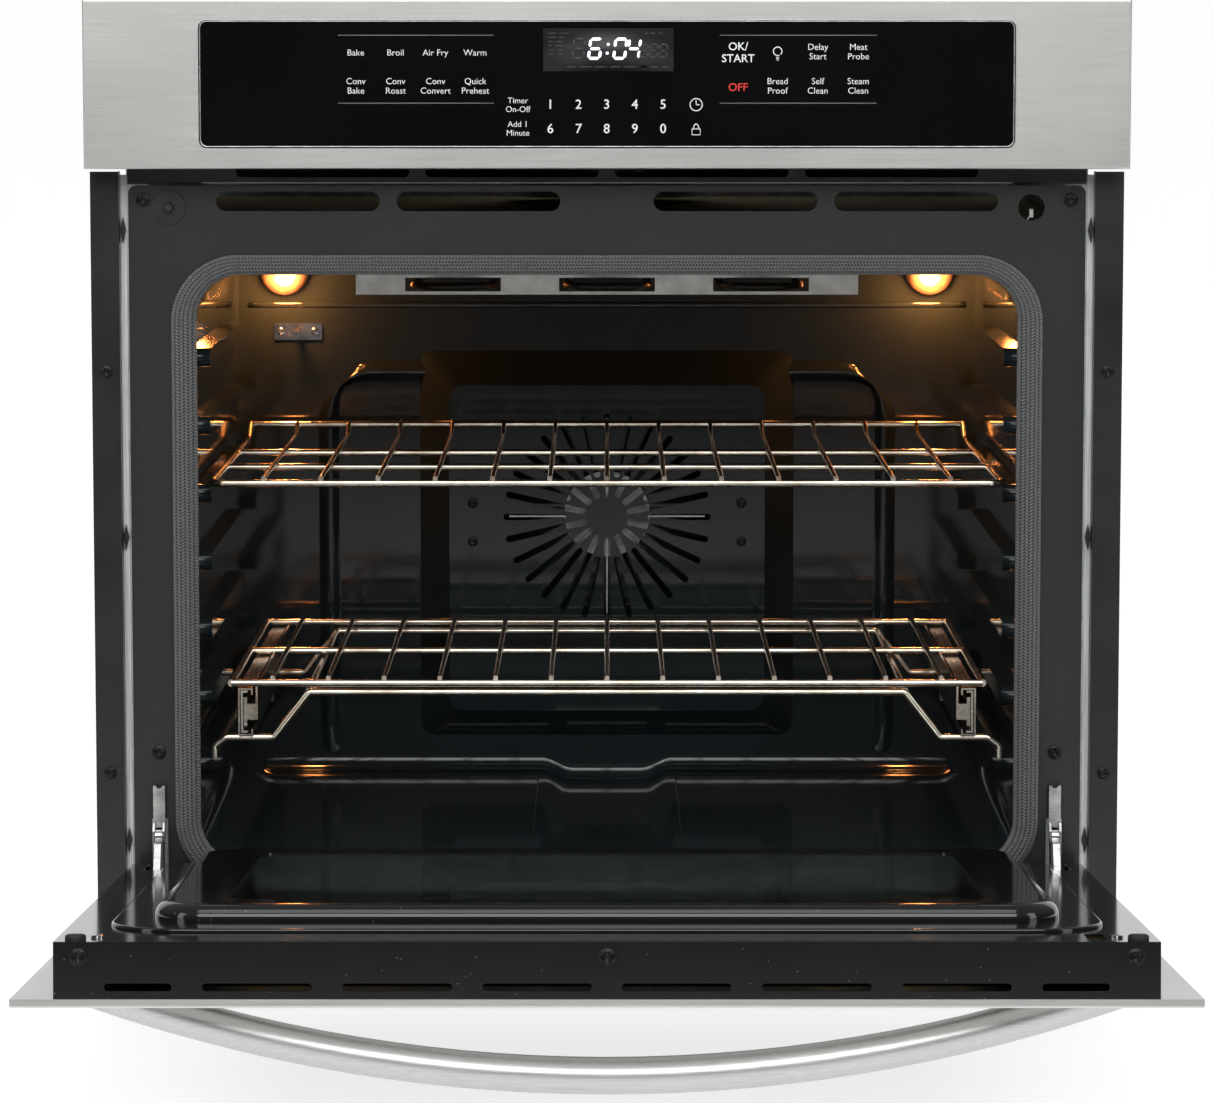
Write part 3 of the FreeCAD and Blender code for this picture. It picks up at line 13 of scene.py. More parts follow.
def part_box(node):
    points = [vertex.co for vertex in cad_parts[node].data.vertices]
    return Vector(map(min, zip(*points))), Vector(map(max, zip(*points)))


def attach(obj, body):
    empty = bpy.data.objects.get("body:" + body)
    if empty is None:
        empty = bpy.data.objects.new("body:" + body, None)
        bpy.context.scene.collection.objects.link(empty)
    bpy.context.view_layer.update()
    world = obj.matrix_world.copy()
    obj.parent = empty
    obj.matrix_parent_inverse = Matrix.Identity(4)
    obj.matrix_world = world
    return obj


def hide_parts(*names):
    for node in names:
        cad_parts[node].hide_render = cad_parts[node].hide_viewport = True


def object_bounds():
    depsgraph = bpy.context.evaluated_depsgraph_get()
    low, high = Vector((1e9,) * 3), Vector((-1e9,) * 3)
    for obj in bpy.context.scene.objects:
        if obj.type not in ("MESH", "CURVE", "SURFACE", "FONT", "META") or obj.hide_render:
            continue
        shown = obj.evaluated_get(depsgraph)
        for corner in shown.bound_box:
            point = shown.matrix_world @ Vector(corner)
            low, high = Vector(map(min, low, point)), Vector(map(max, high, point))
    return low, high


bl_info = {
    "name": "Wall oven looks",
    "version": (1, 0, 0),
    "blender": (4, 5, 0),
    "location": "View3D > Sidebar > Wall oven",
    "description": "Finishes and fine pieces of a built-in wall oven with a drop-down door",
    "category": "Object",
}

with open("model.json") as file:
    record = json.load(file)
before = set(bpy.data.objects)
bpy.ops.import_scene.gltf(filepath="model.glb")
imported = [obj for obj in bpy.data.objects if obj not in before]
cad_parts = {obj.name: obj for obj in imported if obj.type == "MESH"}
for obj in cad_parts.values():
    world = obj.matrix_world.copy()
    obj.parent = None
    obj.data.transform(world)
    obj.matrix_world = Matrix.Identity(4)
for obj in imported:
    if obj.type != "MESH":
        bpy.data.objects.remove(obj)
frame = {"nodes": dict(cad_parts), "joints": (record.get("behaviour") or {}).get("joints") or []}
cad_box = [list(corner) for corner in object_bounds()]
MM = 0.001
SIDES = (-1, 1)
BACK_WALL = 486 * MM    # inner face of the cavity's back wall
FLOOR = 78.6 * MM       # top of the cavity floor
LAMP_ACROSS = 270 * MM  # each lamp from the middle


# ---------------------------------------------------------------- colours and nodes


def linear(code):
    """A colour that shaders use, from an sRGB hex value."""
    parts = [int(code[place:place + 2], 16) / 255 for place in (0, 2, 4)]
    return [part / 12.92 if part <= 0.04045 else ((part + 0.055) / 1.055) ** 2.4 for part in parts] + [1.0]


def node(material, kind, inputs=None, **settings):
    """Add a node: settings are its own properties, and inputs holds values or the sockets to link."""
    tree = material.node_tree
    made = tree.nodes.new(kind)
    for name, value in settings.items():
        setattr(made, name, value)
    for name, value in (inputs or {}).items():
        if isinstance(value, bpy.types.NodeSocket):
            tree.links.new(value, made.inputs[name])
        else:
            made.inputs[name].default_value = value
    return made


def start_material(name, **surface):
    """A material with a Principled shader whose sockets are set or linked from surface."""
    material = bpy.data.materials.new(name)
    material.use_nodes = True
    material.node_tree.nodes.clear()
    shader = node(material, "ShaderNodeBsdfPrincipled")
    output = node(material, "ShaderNodeOutputMaterial")
    material.node_tree.links.new(shader.outputs["BSDF"], output.inputs["Surface"])
    finish(material, **surface)
    return material


def finish(material, **surface):
    """Set or link more sockets of a material's shader; an underscore in a key stands for a space."""
    tree = material.node_tree
    shader = next(made for made in tree.nodes if made.type == "BSDF_PRINCIPLED")
    for key, value in surface.items():
        socket = shader.inputs[key.replace("_", " ")]
        if isinstance(value, bpy.types.NodeSocket):
            tree.links.new(value, socket)
        else:
            socket.default_value = value


def place_on(material, stretch=(1.0, 1.0, 1.0)):
    """Object coordinates in metres times a stretch along each axis."""
    coordinates = node(material, "ShaderNodeTexCoord")
    mapped = node(material, "ShaderNodeMapping", {"Vector": coordinates.outputs["Object"], "Scale": stretch})
    return mapped.outputs["Vector"]


def noise(material, vector, size, detail=3.0, roughness=0.55):
    """Soft random variation whose features are about size metres across."""
    made = node(material, "ShaderNodeTexNoise", {
        "Vector": vector, "Scale": 1 / size, "Detail": detail, "Roughness": roughness})
    return made.outputs["Fac"]


def between(material, factor, low, high, from_low=0.3, from_high=0.7):
    """A number that goes from low to high as a factor goes between its own two limits."""
    made = node(material, "ShaderNodeMapRange", {
        "Value": factor, "From Min": from_low, "From Max": from_high, "To Min": low, "To Max": high})
    return made.outputs["Result"]


def blended(material, factor, first, second):
    """A colour between two colours, which are hex values or sockets."""
    made = node(material, "ShaderNodeMix", data_type="RGBA")
    for key, value in (("A", first), ("B", second)):
        socket = next(entry for entry in made.inputs if entry.name == key and entry.type == "RGBA")
        if isinstance(value, bpy.types.NodeSocket):
            material.node_tree.links.new(value, socket)
        else:
            socket.default_value = linear(value)
    material.node_tree.links.new(factor, made.inputs[0])
    return next(entry for entry in made.outputs if entry.type == "RGBA")


def bump(material, height, distance, strength=1.0):
    """A normal from a height that is distance metres high where its value is 1."""
    made = node(material, "ShaderNodeBump", {"Height": height, "Distance": distance, "Strength": strength})
    return made.outputs["Normal"]


# ---------------------------------------------------------------- finishes


def brushed_stainless(look):
    """Stainless sheet brushed along its length: fine streaks along X and faint smudges."""
    # The real grain is about 0.1 mm apart; it is drawn 0.5 mm apart so that it just shows.
    made = start_material("brushed_stainless", Metallic=1.0)
    streaks = noise(made, place_on(made, (0.006, 1.0, 1.0)), 0.5 * MM, 2.0, 0.6)
    broad = noise(made, place_on(made, (0.02, 1.0, 1.0)), 4 * MM, 2.0)
    smudges = noise(made, place_on(made), 90 * MM, 3.0)
    tone = blended(made, between(made, streaks, 0.0, 1.0), "c3c3c1", look.steel_colour)
    tone = blended(made, between(made, broad, 0.0, 0.2), tone, "dcdbd9")
    rough = node(made, "ShaderNodeMath", {
        0: between(made, streaks, 0.33, 0.37), 1: between(made, smudges, -0.015, 0.02)}, operation="ADD")
    finish(made, Base_Color=tone, Roughness=rough.outputs[0], Normal=bump(made, streaks, 0.002 * MM))
    return made


def brushed_tube_steel():
    """A stainless tube brushed along its length, a little brighter than the sheet."""
    made = start_material("brushed_tube_steel", Metallic=1.0)
    streaks = noise(made, place_on(made, (0.01, 1.0, 1.0)), 0.6 * MM, 2.0, 0.6)
    smudges = noise(made, place_on(made), 60 * MM)
    tone = blended(made, between(made, streaks, 0.0, 1.0), "b9b9b8", "cccccb")
    rough = node(made, "ShaderNodeMath", {
        0: between(made, streaks, 0.33, 0.38), 1: between(made, smudges, -0.015, 0.02)}, operation="ADD")
    finish(made, Base_Color=tone, Roughness=rough.outputs[0], Normal=bump(made, streaks, 0.002 * MM))
    return made


def enamel(name, ground, cloud, speck, rough, speck_share=0.6, peel_high=0.02):
    """Fired porcelain enamel: a hard gloss with fine pale specks and a faint orange peel."""
    made = start_material(name, IOR=1.52)
    spots = node(made, "ShaderNodeTexVoronoi", {"Vector": place_on(made), "Scale": 1 / (6 * MM)})
    # A speck is a dot 0.25 mm in radius in some of the 6 mm cells.
    dots = between(made, spots.outputs["Distance"], 1.0, 0.0, 0.03, 0.055)
    chosen = node(made, "ShaderNodeSeparateColor", {"Color": spots.outputs["Color"]})
    kept = node(made, "ShaderNodeMath", {0: chosen.outputs[0], 1: speck_share}, operation="LESS_THAN")
    mask = node(made, "ShaderNodeMath", {0: dots, 1: kept.outputs[0]}, operation="MULTIPLY")
    mask.use_clamp = True
    clouds = noise(made, place_on(made), 60 * MM)
    tone = blended(made, between(made, clouds, 0.0, 0.5), ground, cloud)
    tone = blended(made, mask.outputs[0], tone, speck)
    peel = noise(made, place_on(made), 12 * MM, 2.0)
    finish(made, Base_Color=tone, Roughness=between(made, clouds, rough, rough + 0.02),
           Normal=bump(made, peel, peel_high * MM))
    return made


def passivated_zinc():
    """Pale passivated zinc on the channels behind the trims: silky, with faint drawing lines along Z."""
    made = start_material("pale_passivated_zinc", Metallic=0.45, IOR=1.5)
    lines = noise(made, place_on(made, (1.0, 1.0, 0.02)), 0.8 * MM, 2.0)
    clouds = noise(made, place_on(made), 40 * MM)
    finish(made, Base_Color=blended(made, between(made, lines, 0.0, 1.0), "c9cbcc", "eeeff0"),
           Roughness=between(made, clouds, 0.35, 0.45), Normal=bump(made, lines, 0.01 * MM))
    return made


def black_glass():
    """Toughened black glass: deep, flat and glossy, with a trace of haze."""
    made = start_material("black_control_glass", IOR=1.5)
    haze = noise(made, place_on(made), 120 * MM, 4.0)
    finish(made, Base_Color=blended(made, between(made, haze, 0.0, 1.0), "050506", "08090a"),
           Roughness=between(made, haze, 0.02, 0.05))
    return made


def clear_glass(name="clear_float_glass", tint="e9f3ef"):
    """Clear glass with a faint green cast and a little dust haze in its gloss."""
    made = start_material(name, Base_Color=linear(tint), Transmission_Weight=1.0, IOR=1.5)
    haze = noise(made, place_on(made), 50 * MM, 4.0)
    finish(made, Roughness=between(made, haze, 0.0, 0.03))
    return made


def lamp_glass(look, middle):
    """The lit lamp cap: pressed glass, white over its bulb and amber towards its rim."""
    made = start_material("lit_lamp_glass", IOR=1.5, Emission_Strength=look.lamp_glow)
    place = node(made, "ShaderNodeTexCoord")
    split = node(made, "ShaderNodeSeparateXYZ", {"Vector": place.outputs["Object"]})
    across = node(made, "ShaderNodeMath", {0: split.outputs["X"]}, operation="ABSOLUTE")
    spot = node(made, "ShaderNodeCombineXYZ", {"X": across.outputs[0], "Y": split.outputs["Y"],
                                               "Z": split.outputs["Z"]})
    far = node(made, "ShaderNodeVectorMath", {0: spot.outputs["Vector"], 1: middle}, operation="DISTANCE")
    flutes = noise(made, place_on(made), 6 * MM)
    edge = between(made, far.outputs["Value"], 0.0, 1.0, 4 * MM, 19 * MM)
    finish(made, Base_Color=blended(made, between(made, flutes, 0.0, 1.0), "7a5a34", "4a3218"),
           Emission_Color=blended(made, edge, "ffd9a0", "5a2c08"),
           Roughness=between(made, flutes, 0.05, 0.15), Normal=bump(made, flutes, 0.3 * MM))
    return made


def zinc_coated_steel():
    """Galvanised sheet: crystals of zinc a few millimetres across, each with its own grey."""
    made = start_material("galvanised_sheet", Metallic=1.0)
    crystals = node(made, "ShaderNodeTexVoronoi", {"Vector": place_on(made), "Scale": 1 / (9 * MM)})
    grey = node(made, "ShaderNodeSeparateColor", {"Color": crystals.outputs["Color"]})
    clouds = noise(made, place_on(made), 40 * MM)
    tone = blended(made, grey.outputs[0], "a9adb0", "c6cacc")
    tone = blended(made, between(made, clouds, 0.0, 0.3), tone, "9a9ea2")
    finish(made, Base_Color=tone, Roughness=between(made, grey.outputs[1], 0.32, 0.5, 0.0, 1.0),
           Normal=bump(made, clouds, 0.1 * MM))
    return made


def satin_black_paint():
    """Powder coat on steel: satin black with a fine grit of about 0.5 mm."""
    made = start_material("satin_black_powder_coat", IOR=1.5)
    grit = noise(made, place_on(made), 0.6 * MM, 2.0)
    clouds = noise(made, place_on(made), 70 * MM)
    finish(made, Base_Color=blended(made, between(made, clouds, 0.0, 1.0), "0b0b0c", "131415"),
           Roughness=between(made, clouds, 0.3, 0.4), Normal=bump(made, grit, 0.02 * MM))
    return made


def plated_wire(name="nickel_plated_wire", dull="a8947c", bright="e2d9cc", rough=0.16):
    """Bright nickel on drawn wire, toned warm in patches by the oven's heat."""
    made = start_material(name, Metallic=1.0)
    patches = noise(made, place_on(made), 35 * MM)
    scratches = noise(made, place_on(made, (1.0, 0.1, 1.0)), 1.5 * MM, 2.0)
    finish(made, Base_Color=blended(made, between(made, patches, 0.0, 1.0, 0.25, 0.6), dull, bright),
           Roughness=between(made, scratches, rough - 0.04, rough + 0.08),
           Normal=bump(made, scratches, 0.01 * MM))
    return made


def bright_steel(name, dark, light, rough):
    """Rolled or plated steel with fine scratches that cross each other."""
    made = start_material(name, Metallic=1.0)
    scratches = noise(made, place_on(made, (0.05, 1.0, 1.0)), 0.9 * MM, 3.0)
    patches = noise(made, place_on(made), 14 * MM)
    finish(made, Base_Color=blended(made, between(made, patches, 0.0, 1.0), dark, light),
           Roughness=between(made, scratches, rough - 0.05, rough + 0.08),
           Normal=bump(made, scratches, 0.015 * MM))
    return made


def heater_sheath():
    """An alloy heater tube, oxidised to a dull brown black."""
    made = start_material("oxidised_heater_alloy", Metallic=0.6)
    scale = noise(made, place_on(made), 4 * MM, 5.0)
    finish(made, Base_Color=blended(made, between(made, scale, 0.0, 1.0), "16130f", "2f2a25"),
           Roughness=between(made, scale, 0.35, 0.55), Normal=bump(made, scale, 0.08 * MM))
    return made


def black_oxide():
    """Screws with an oiled black oxide: a soft sheen and rubbed edges."""
    made = start_material("black_oxide_screws", Metallic=0.85)
    rub = noise(made, place_on(made), 2 * MM, 4.0)
    finish(made, Base_Color=blended(made, between(made, rub, 0.0, 1.0, 0.4, 0.8), "161617", "3c3c3e"),
           Roughness=between(made, rub, 0.28, 0.45), Normal=bump(made, rub, 0.03 * MM))
    return made


def moulded_plastic(name, dark, light, rough=0.4):
    """Moulded plastic with the fine spark texture of its tool."""
    made = start_material(name, IOR=1.49)
    grain = noise(made, place_on(made), 0.5 * MM, 2.0)
    clouds = noise(made, place_on(made), 20 * MM)
    finish(made, Base_Color=blended(made, between(made, clouds, 0.0, 1.0), dark, light),
           Roughness=between(made, clouds, rough, rough + 0.12), Normal=bump(made, grain, 0.03 * MM))
    return made


def glass_wool():
    """A yellow blanket of matted glass fibres, a few millimetres to a tuft."""
    made = start_material("glass_wool", Sheen_Weight=0.4)
    fibres = noise(made, place_on(made, (1.0, 3.0, 0.3)), 4 * MM, 6.0, 0.7)
    tufts = noise(made, place_on(made), 18 * MM)
    tone = blended(made, between(made, fibres, 0.0, 1.0), "b59a55", "e2cf94")
    finish(made, Base_Color=blended(made, between(made, tufts, 0.0, 0.4), tone, "c9b070"),
           Roughness=between(made, fibres, 0.8, 1.0), Normal=bump(made, fibres, 1.5 * MM))
    return made


def circuit_laminate():
    """A green circuit board: copper tracks under the mask, a millimetre or two wide."""
    made = start_material("circuit_laminate", IOR=1.5)
    tracks = node(made, "ShaderNodeTexBrick", {
        "Vector": place_on(made), "Scale": 1 / (12 * MM), "Mortar Size": 0.06,
        "Color1": linear("0c3a1d"), "Color2": linear("114626"), "Mortar": linear("2c6b3a")})
    clouds = noise(made, place_on(made), 15 * MM)
    finish(made, Base_Color=tracks.outputs["Color"], Roughness=between(made, clouds, 0.3, 0.45))
    return made


def motor_paint():
    """Stacked steel plates under grey paint: fine rings 1.5 mm apart round the motor."""
    made = start_material("painted_motor_plates", Metallic=0.3)
    plates = node(made, "ShaderNodeTexWave", {
        "Vector": place_on(made), "Scale": 1 / (10 * MM), "Distortion": 0.2}, bands_direction="Y")
    tone = blended(made, between(made, plates.outputs["Fac"], 0.0, 1.0), "3a3c3e", "55585a")
    finish(made, Base_Color=tone, Roughness=between(made, plates.outputs["Fac"], 0.35, 0.55),
           Normal=bump(made, plates.outputs["Fac"], 0.1 * MM))
    return made


def steatite():
    """Unglazed lamp ceramic: off-white, chalky and slightly pitted."""
    made = start_material("unglazed_steatite", IOR=1.55)
    pits = noise(made, place_on(made), 1.5 * MM, 4.0)
    finish(made, Base_Color=blended(made, between(made, pits, 0.0, 1.0), "cfc8b8", "e9e4d8"),
           Roughness=between(made, pits, 0.55, 0.8), Normal=bump(made, pits, 0.08 * MM))
    return made


def knitted_glass_fibre():
    """The knitted seal: stitches 2.4 mm long that slant one way and then the other from rib to rib; its
    colour carries painted shade, darker where the stitches sit low and nearly black in the valleys between
    the ribs.
    """
    # The UV map runs in metres: U along the seal, V across it.
    made = start_material("knitted_glass_fibre", Sheen_Weight=0.3, Sheen_Roughness=0.4)
    along = node(made, "ShaderNodeTexCoord")
    split = node(made, "ShaderNodeSeparateXYZ", {"Vector": along.outputs["UV"]})
    rib = node(made, "ShaderNodeMath", {0: split.outputs["Y"], 1: 1 / (3.2 * MM)}, operation="MULTIPLY")
    slant = node(made, "ShaderNodeMath", {0: rib.outputs[0], 1: 1.0}, operation="PINGPONG")
    turns = node(made, "ShaderNodeMath", {0: split.outputs["X"], 1: 1 / (2.4 * MM)}, operation="MULTIPLY")
    leaning = node(made, "ShaderNodeMath", {0: slant.outputs[0], 1: turns.outputs[0]}, operation="ADD")
    phase = node(made, "ShaderNodeMath", {0: leaning.outputs[0], 1: 2 * math.pi}, operation="MULTIPLY")
    stitch = node(made, "ShaderNodeMath", {0: phase.outputs[0]}, operation="SINE")
    fuzz = noise(made, place_on(made), 0.9 * MM, 3.0)
    height = node(made, "ShaderNodeMath", {0: between(made, stitch.outputs[0], 0.0, 1.0, -1.0, 1.0),
                                           1: between(made, fuzz, 0.0, 0.6)}, operation="ADD")
    valley = node(made, "ShaderNodeMath", {0: rib.outputs[0], 1: math.pi}, operation="MULTIPLY")
    ridge = node(made, "ShaderNodeMath", {0: valley.outputs[0]}, operation="SINE")
    ridge_high = node(made, "ShaderNodeMath", {0: ridge.outputs[0]}, operation="ABSOLUTE")
    # Painted shade: the knit pattern is real, but its colour runs from dark grey where the stitches sit low
    # to mid grey where they stand high.
    tone = blended(made, between(made, height.outputs[0], 0.0, 1.0, 0.1, 1.3), "1f2021", "77797b")
    # Painted shade: the valleys between the ribs are mixed towards near black.
    tone = blended(made, between(made, ridge_high.outputs[0], 0.85, 0.0, 0.0, 0.8), tone, "0c0c0d")
    finish(made, Base_Color=tone, Roughness=between(made, fuzz, 0.7, 0.95),
           Normal=bump(made, height.outputs[0], 0.5 * MM))
    return made


def moulded_rubber():
    """Moulded black rubber: nearly matt, with a faint bloom."""
    made = start_material("moulded_rubber", IOR=1.52)
    bloom = noise(made, place_on(made), 6 * MM)
    finish(made, Base_Color=blended(made, between(made, bloom, 0.0, 1.0), "0c0c0c", "1a1a1b"),
           Roughness=between(made, bloom, 0.55, 0.75), Normal=bump(made, bloom, 0.05 * MM))
    return made


def screen_ink(name, colour, thin, glow=0.0):
    """Ink printed on the glass, or the light of the display, with a slightly uneven edge of tone."""
    made = start_material(name, IOR=1.5, Emission_Strength=glow, Emission_Color=linear(colour))
    grain = noise(made, place_on(made), 1.2 * MM)
    finish(made, Base_Color=blended(made, between(made, grain, 0.0, 1.0), colour, thin),
           Roughness=between(made, grain, 0.35, 0.5))
    return made


def paint_nodes(look):
    """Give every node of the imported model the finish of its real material."""
    enamel_dark = enamel("cavity_enamel", "222a2d", "181f21", "7f888a", 0.06, 0.4)
    sheets = zinc_coated_steel()
    paint = satin_black_paint()
    steel = brushed_stainless(look)
    wire = plated_wire()
    wool = glass_wool()
    plated = bright_steel("bright_plated_steel", "9d9d9b", "d3d3d1", 0.2)
    board = circuit_laminate()
    motor = motor_paint()
    oxide = black_oxide()
    plastic = moulded_plastic("black_nylon", "0d0d0e", "19191a")
    glass = black_glass()
    rolled = bright_steel("rolled_aluminium", "9c9ea0", "c9cbcc", 0.38)
    sheath = heater_sheath()
    finishes = {
        steel: ("panel_fascia", "door_skin"),
        brushed_tube_steel(): ("door_handle",),
        glass: ("panel_glass", "door_glass_outer"),
        clear_glass(): ("door_inner_panes", "lamp_bulbs"),
        lamp_glass(look, (LAMP_ACROSS, 0.470, 0.497)): ("lamp_lenses",),
        enamel_dark: ("cavity_liner", "fan_cover"),
        enamel("front_frame_enamel", "191b1b", "1d1f1f", "7d8282", 0.34, 0.6): ("front_frame",),
        enamel("door_liner_enamel", "0f1011", "131415", "a3a9a9", 0.09, 0.7): ("door_liner",),
        passivated_zinc(): ("mounting_channels",),
        sheets: ("base_pan", "chassis_side_left", "chassis_side_right", "chassis_top", "chassis_back",
                 "panel_support", "blower_housing", "hinge_receivers", "hinge_channels", "glass_retainer"),
        paint: ("side_trim_left", "side_trim_right", "bottom_trim", "vent_strip"),
        wool: ("cavity_insulation", "door_insulation"),
        board: ("display_board", "control_board"),
        sheath: ("broil_element", "bake_element", "convection_element"),
        bright_steel("element_strip_steel", "d2d1cc", "f0efea", 0.42): ("broil_bracket",),
        plated: ("hinge_arms", "hinge_lock_left", "hinge_lock_right", "latch_hook", "hinge_pins",
                 "handle_bolts", "temperature_sensor"),
        oxide: ("body_screws", "door_screws"),
        bright_steel("oiled_spring_steel", "4a4a4c", "77787a", 0.3): ("hinge_springs",),
        wire: ("upper_rack", "glide_frame", "glide_shelf"),
        bright_steel("brushed_slide_steel", "b5b0a6", "dcd7cd", 0.26): ("glide_slides",),
        rolled: ("fan_wheel", "blower_wheel"),
        motor: ("fan_motor", "blower_motor", "latch_motor"),
        plastic: ("trim_spacers", "door_switch", "switch_plunger"),
        steatite(): ("lamp_sockets",),
        knitted_glass_fibre(): ("door_gasket",),
        moulded_rubber(): ("door_bumpers",),
    }
    for material, names in finishes.items():
        for name in names:
            slots = frame["nodes"][name].data.materials
            slots.clear()
            slots.append(material)


# ---------------------------------------------------------------- surfaces


def grid_piece(name, material, *grids, uv=None):
    """One object from grids of points, each (rows, columns, 3), whose cells are its faces."""
    points, faces, start = [], [], 0
    for grid in grids:
        rows, columns = grid.shape[:2]
        index = start + np.arange(rows * columns).reshape(rows, columns)
        cells = np.stack([index[:-1, :-1], index[:-1, 1:], index[1:, 1:], index[1:, :-1]], axis=-1)
        points.append(grid.reshape(-1, 3))
        faces.append(cells.reshape(-1, 4))
        start += rows * columns
    mesh = bpy.data.meshes.new(name)
    mesh.from_pydata(np.concatenate(points), [], np.concatenate(faces))
    if uv is not None:
        layer = mesh.uv_layers.new(name="UVMap")
        corners = np.zeros(len(mesh.loops), int)
        mesh.loops.foreach_get("vertex_index", corners)
        layer.data.foreach_set("uv", uv.reshape(-1, 2)[corners].ravel())
    mesh.materials.append(material)
    piece = bpy.data.objects.new(name, mesh)
    bpy.context.scene.collection.objects.link(piece)
    close_up(piece)
    mesh.shade_smooth()
    return piece


def close_up(piece):
    """Merge the doubled seam and pole points and turn all faces outwards."""
    work = bmesh.new()
    work.from_mesh(piece.data)
    bmesh.ops.remove_doubles(work, verts=work.verts, dist=1e-6)
    bmesh.ops.dissolve_degenerate(work, edges=work.edges, dist=1e-7)
    bmesh.ops.recalc_face_normals(work, faces=work.faces)
    work.to_mesh(piece.data)
    work.free()


def crease(piece, angle=40.0):
    """Keep edges sharper than an angle crisp while the rest is shaded smooth."""
    piece.data.set_sharp_from_angle(angle=math.radians(angle))
    return piece


def seated(piece, body, replaced=()):
    """Make a finished piece ride on a body, and hide the nodes it stands for."""
    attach(piece, body)
    if replaced:
        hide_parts(*replaced)
    return piece


def rounded_outline(half_wide, low, high, corner, steps=24, straight=40):
    """Points round a rectangle with round corners, in the X-Z plane, evenly matched between outlines.

    Each corner is a quarter circle of steps points and each side a line of straight points."""
    quarter = np.linspace(0, math.pi / 2, steps)
    centres = [(half_wide - corner, low + corner, -math.pi / 2), (half_wide - corner, high - corner, 0.0),
               (-half_wide + corner, high - corner, math.pi / 2),
               (-half_wide + corner, low + corner, math.pi)]
    arcs = [np.stack([x + corner * np.cos(turn + quarter), z + corner * np.sin(turn + quarter)], 1)
            for x, z, turn in centres]
    part = np.linspace(0, 1, straight)[1:-1, None]
    loops = []
    for place, arc in enumerate(arcs):
        following = arcs[(place + 1) % 4]
        loops += [arc, arc[-1] * (1 - part) + following[0] * part]
    return np.concatenate(loops + [arcs[0][:1]])


def tube_along(path, radius, sides=16):
    """A round tube along points (n, 3): circles in the plane across the path, closed at both ends.

    The circle's two axes are the cross products of the path's heading with a fixed direction."""
    heading = np.gradient(path, axis=0)
    heading /= np.linalg.norm(heading, axis=1, keepdims=True)
    fixed = np.tile([0.0, 0.0, 1.0], (len(path), 1))
    steep = np.abs(heading[:, 2]) > 0.95
    fixed[steep] = [0.0, 1.0, 0.0]
    first = np.cross(heading, fixed)
    first /= np.linalg.norm(first, axis=1, keepdims=True)
    second = np.cross(heading, first)
    turn = np.linspace(0, 2 * math.pi, sides + 1)
    ring = first[:, None] * np.cos(turn)[None, :, None] + second[:, None] * np.sin(turn)[None, :, None]
    grid = path[:, None] + ring * radius
    caps = [np.repeat(path[:1, None], sides + 1, 1), np.repeat(path[-1:, None], sides + 1, 1)]
    return np.concatenate([caps[0], grid, caps[1]])


def screw_grids(centre, axis, up, head_radius, head_high, shank_radius, shank_long):
    """A cross-recess screw: a head and a threaded shank, as two grids of points.

    The head is a square grid bent to a disc, x = a sqrt(1 - b b / 2), with a low dome; a cross-shaped
    recess is cut into it, 0.16 of the radius half wide and 0.6 long, and its last rows fall to the seat.
    The shank's radius rises and falls once each pitch along its length and once each turn."""
    wide, reach, wall = 0.15, 0.6, 0.03
    half = [0.0, wide, wide + wall, 0.38, reach, reach + wall, 0.82, 0.93, 1.0, 1.0]
    line = np.array([-value for value in reversed(half[1:])] + half)
    a, b = np.meshgrid(line, line, indexing="ij")
    x, y = a * np.sqrt(1 - b * b / 2), b * np.sqrt(1 - a * a / 2)
    far = np.sqrt(x * x + y * y)
    dome = head_high * (0.55 + 0.45 * np.sqrt(np.clip(1 - 0.96 * far**2, 0, 1)))
    inside = ((np.abs(a) <= wide) & (np.abs(b) <= reach)) | ((np.abs(b) <= wide) & (np.abs(a) <= reach))
    dome = np.where(inside, head_high * (0.12 + 0.35 * far / reach), dome)
    rows = np.arange(len(line))
    skirt = (np.minimum(rows, len(line) - 1 - rows) == 0)
    dome[skirt, :] = 0.0
    dome[:, skirt] = 0.0
    axis, up = np.array(axis, float), np.array(up, float)
    side = np.cross(up, axis)
    centre = np.array(centre, float)
    head = (centre + side * (x * head_radius)[..., None] + up * (y * head_radius)[..., None]
            + axis * dome[..., None])
    pitch, turn = 1.2 * MM, np.linspace(0, 2 * math.pi, 13)
    down = np.linspace(0, shank_long, int(shank_long / pitch * 4) + 2)
    wave = np.abs(((down[:, None] / pitch - turn[None] / (2 * math.pi)) % 1) - 0.5) * 2
    point = np.clip((shank_long - down[:, None]) / (2 * shank_radius), 0, 1)
    thick = shank_radius * (0.8 + 0.2 * wave) * point
    shank = (centre + side * (thick * np.cos(turn))[..., None] + up * (thick * np.sin(turn))[..., None]
             - axis * down[:, None, None])
    seat_turn = np.linspace(0, 2 * math.pi, 33)
    radii = np.array([0.0, head_radius])[:, None]
    seat = (centre + side * (radii * np.cos(seat_turn))[..., None]
            + up * (radii * np.sin(seat_turn))[..., None])
    return [head, shank, seat]


def ribbon(points, width, face, closed=False):
    """A flat printed line of one width through points (n, 2) in the X-Z plane, at Y = face."""
    points = np.asarray(points, float)
    if closed:
        points = np.concatenate([points, points[:1]])
        heading = np.gradient(np.concatenate([points[-2:-1], points, points[1:2]]), axis=0)[1:-1]
    else:
        heading = np.gradient(points, axis=0)
    heading /= np.linalg.norm(heading, axis=1, keepdims=True)
    across = np.stack([-heading[:, 1], heading[:, 0]], 1) * width / 2
    edges = np.stack([points - across, points + across], 1)
    grid = np.zeros(edges.shape[:2] + (3,))
    grid[..., 0], grid[..., 1], grid[..., 2] = edges[..., 0], face, edges[..., 1]
    return grid


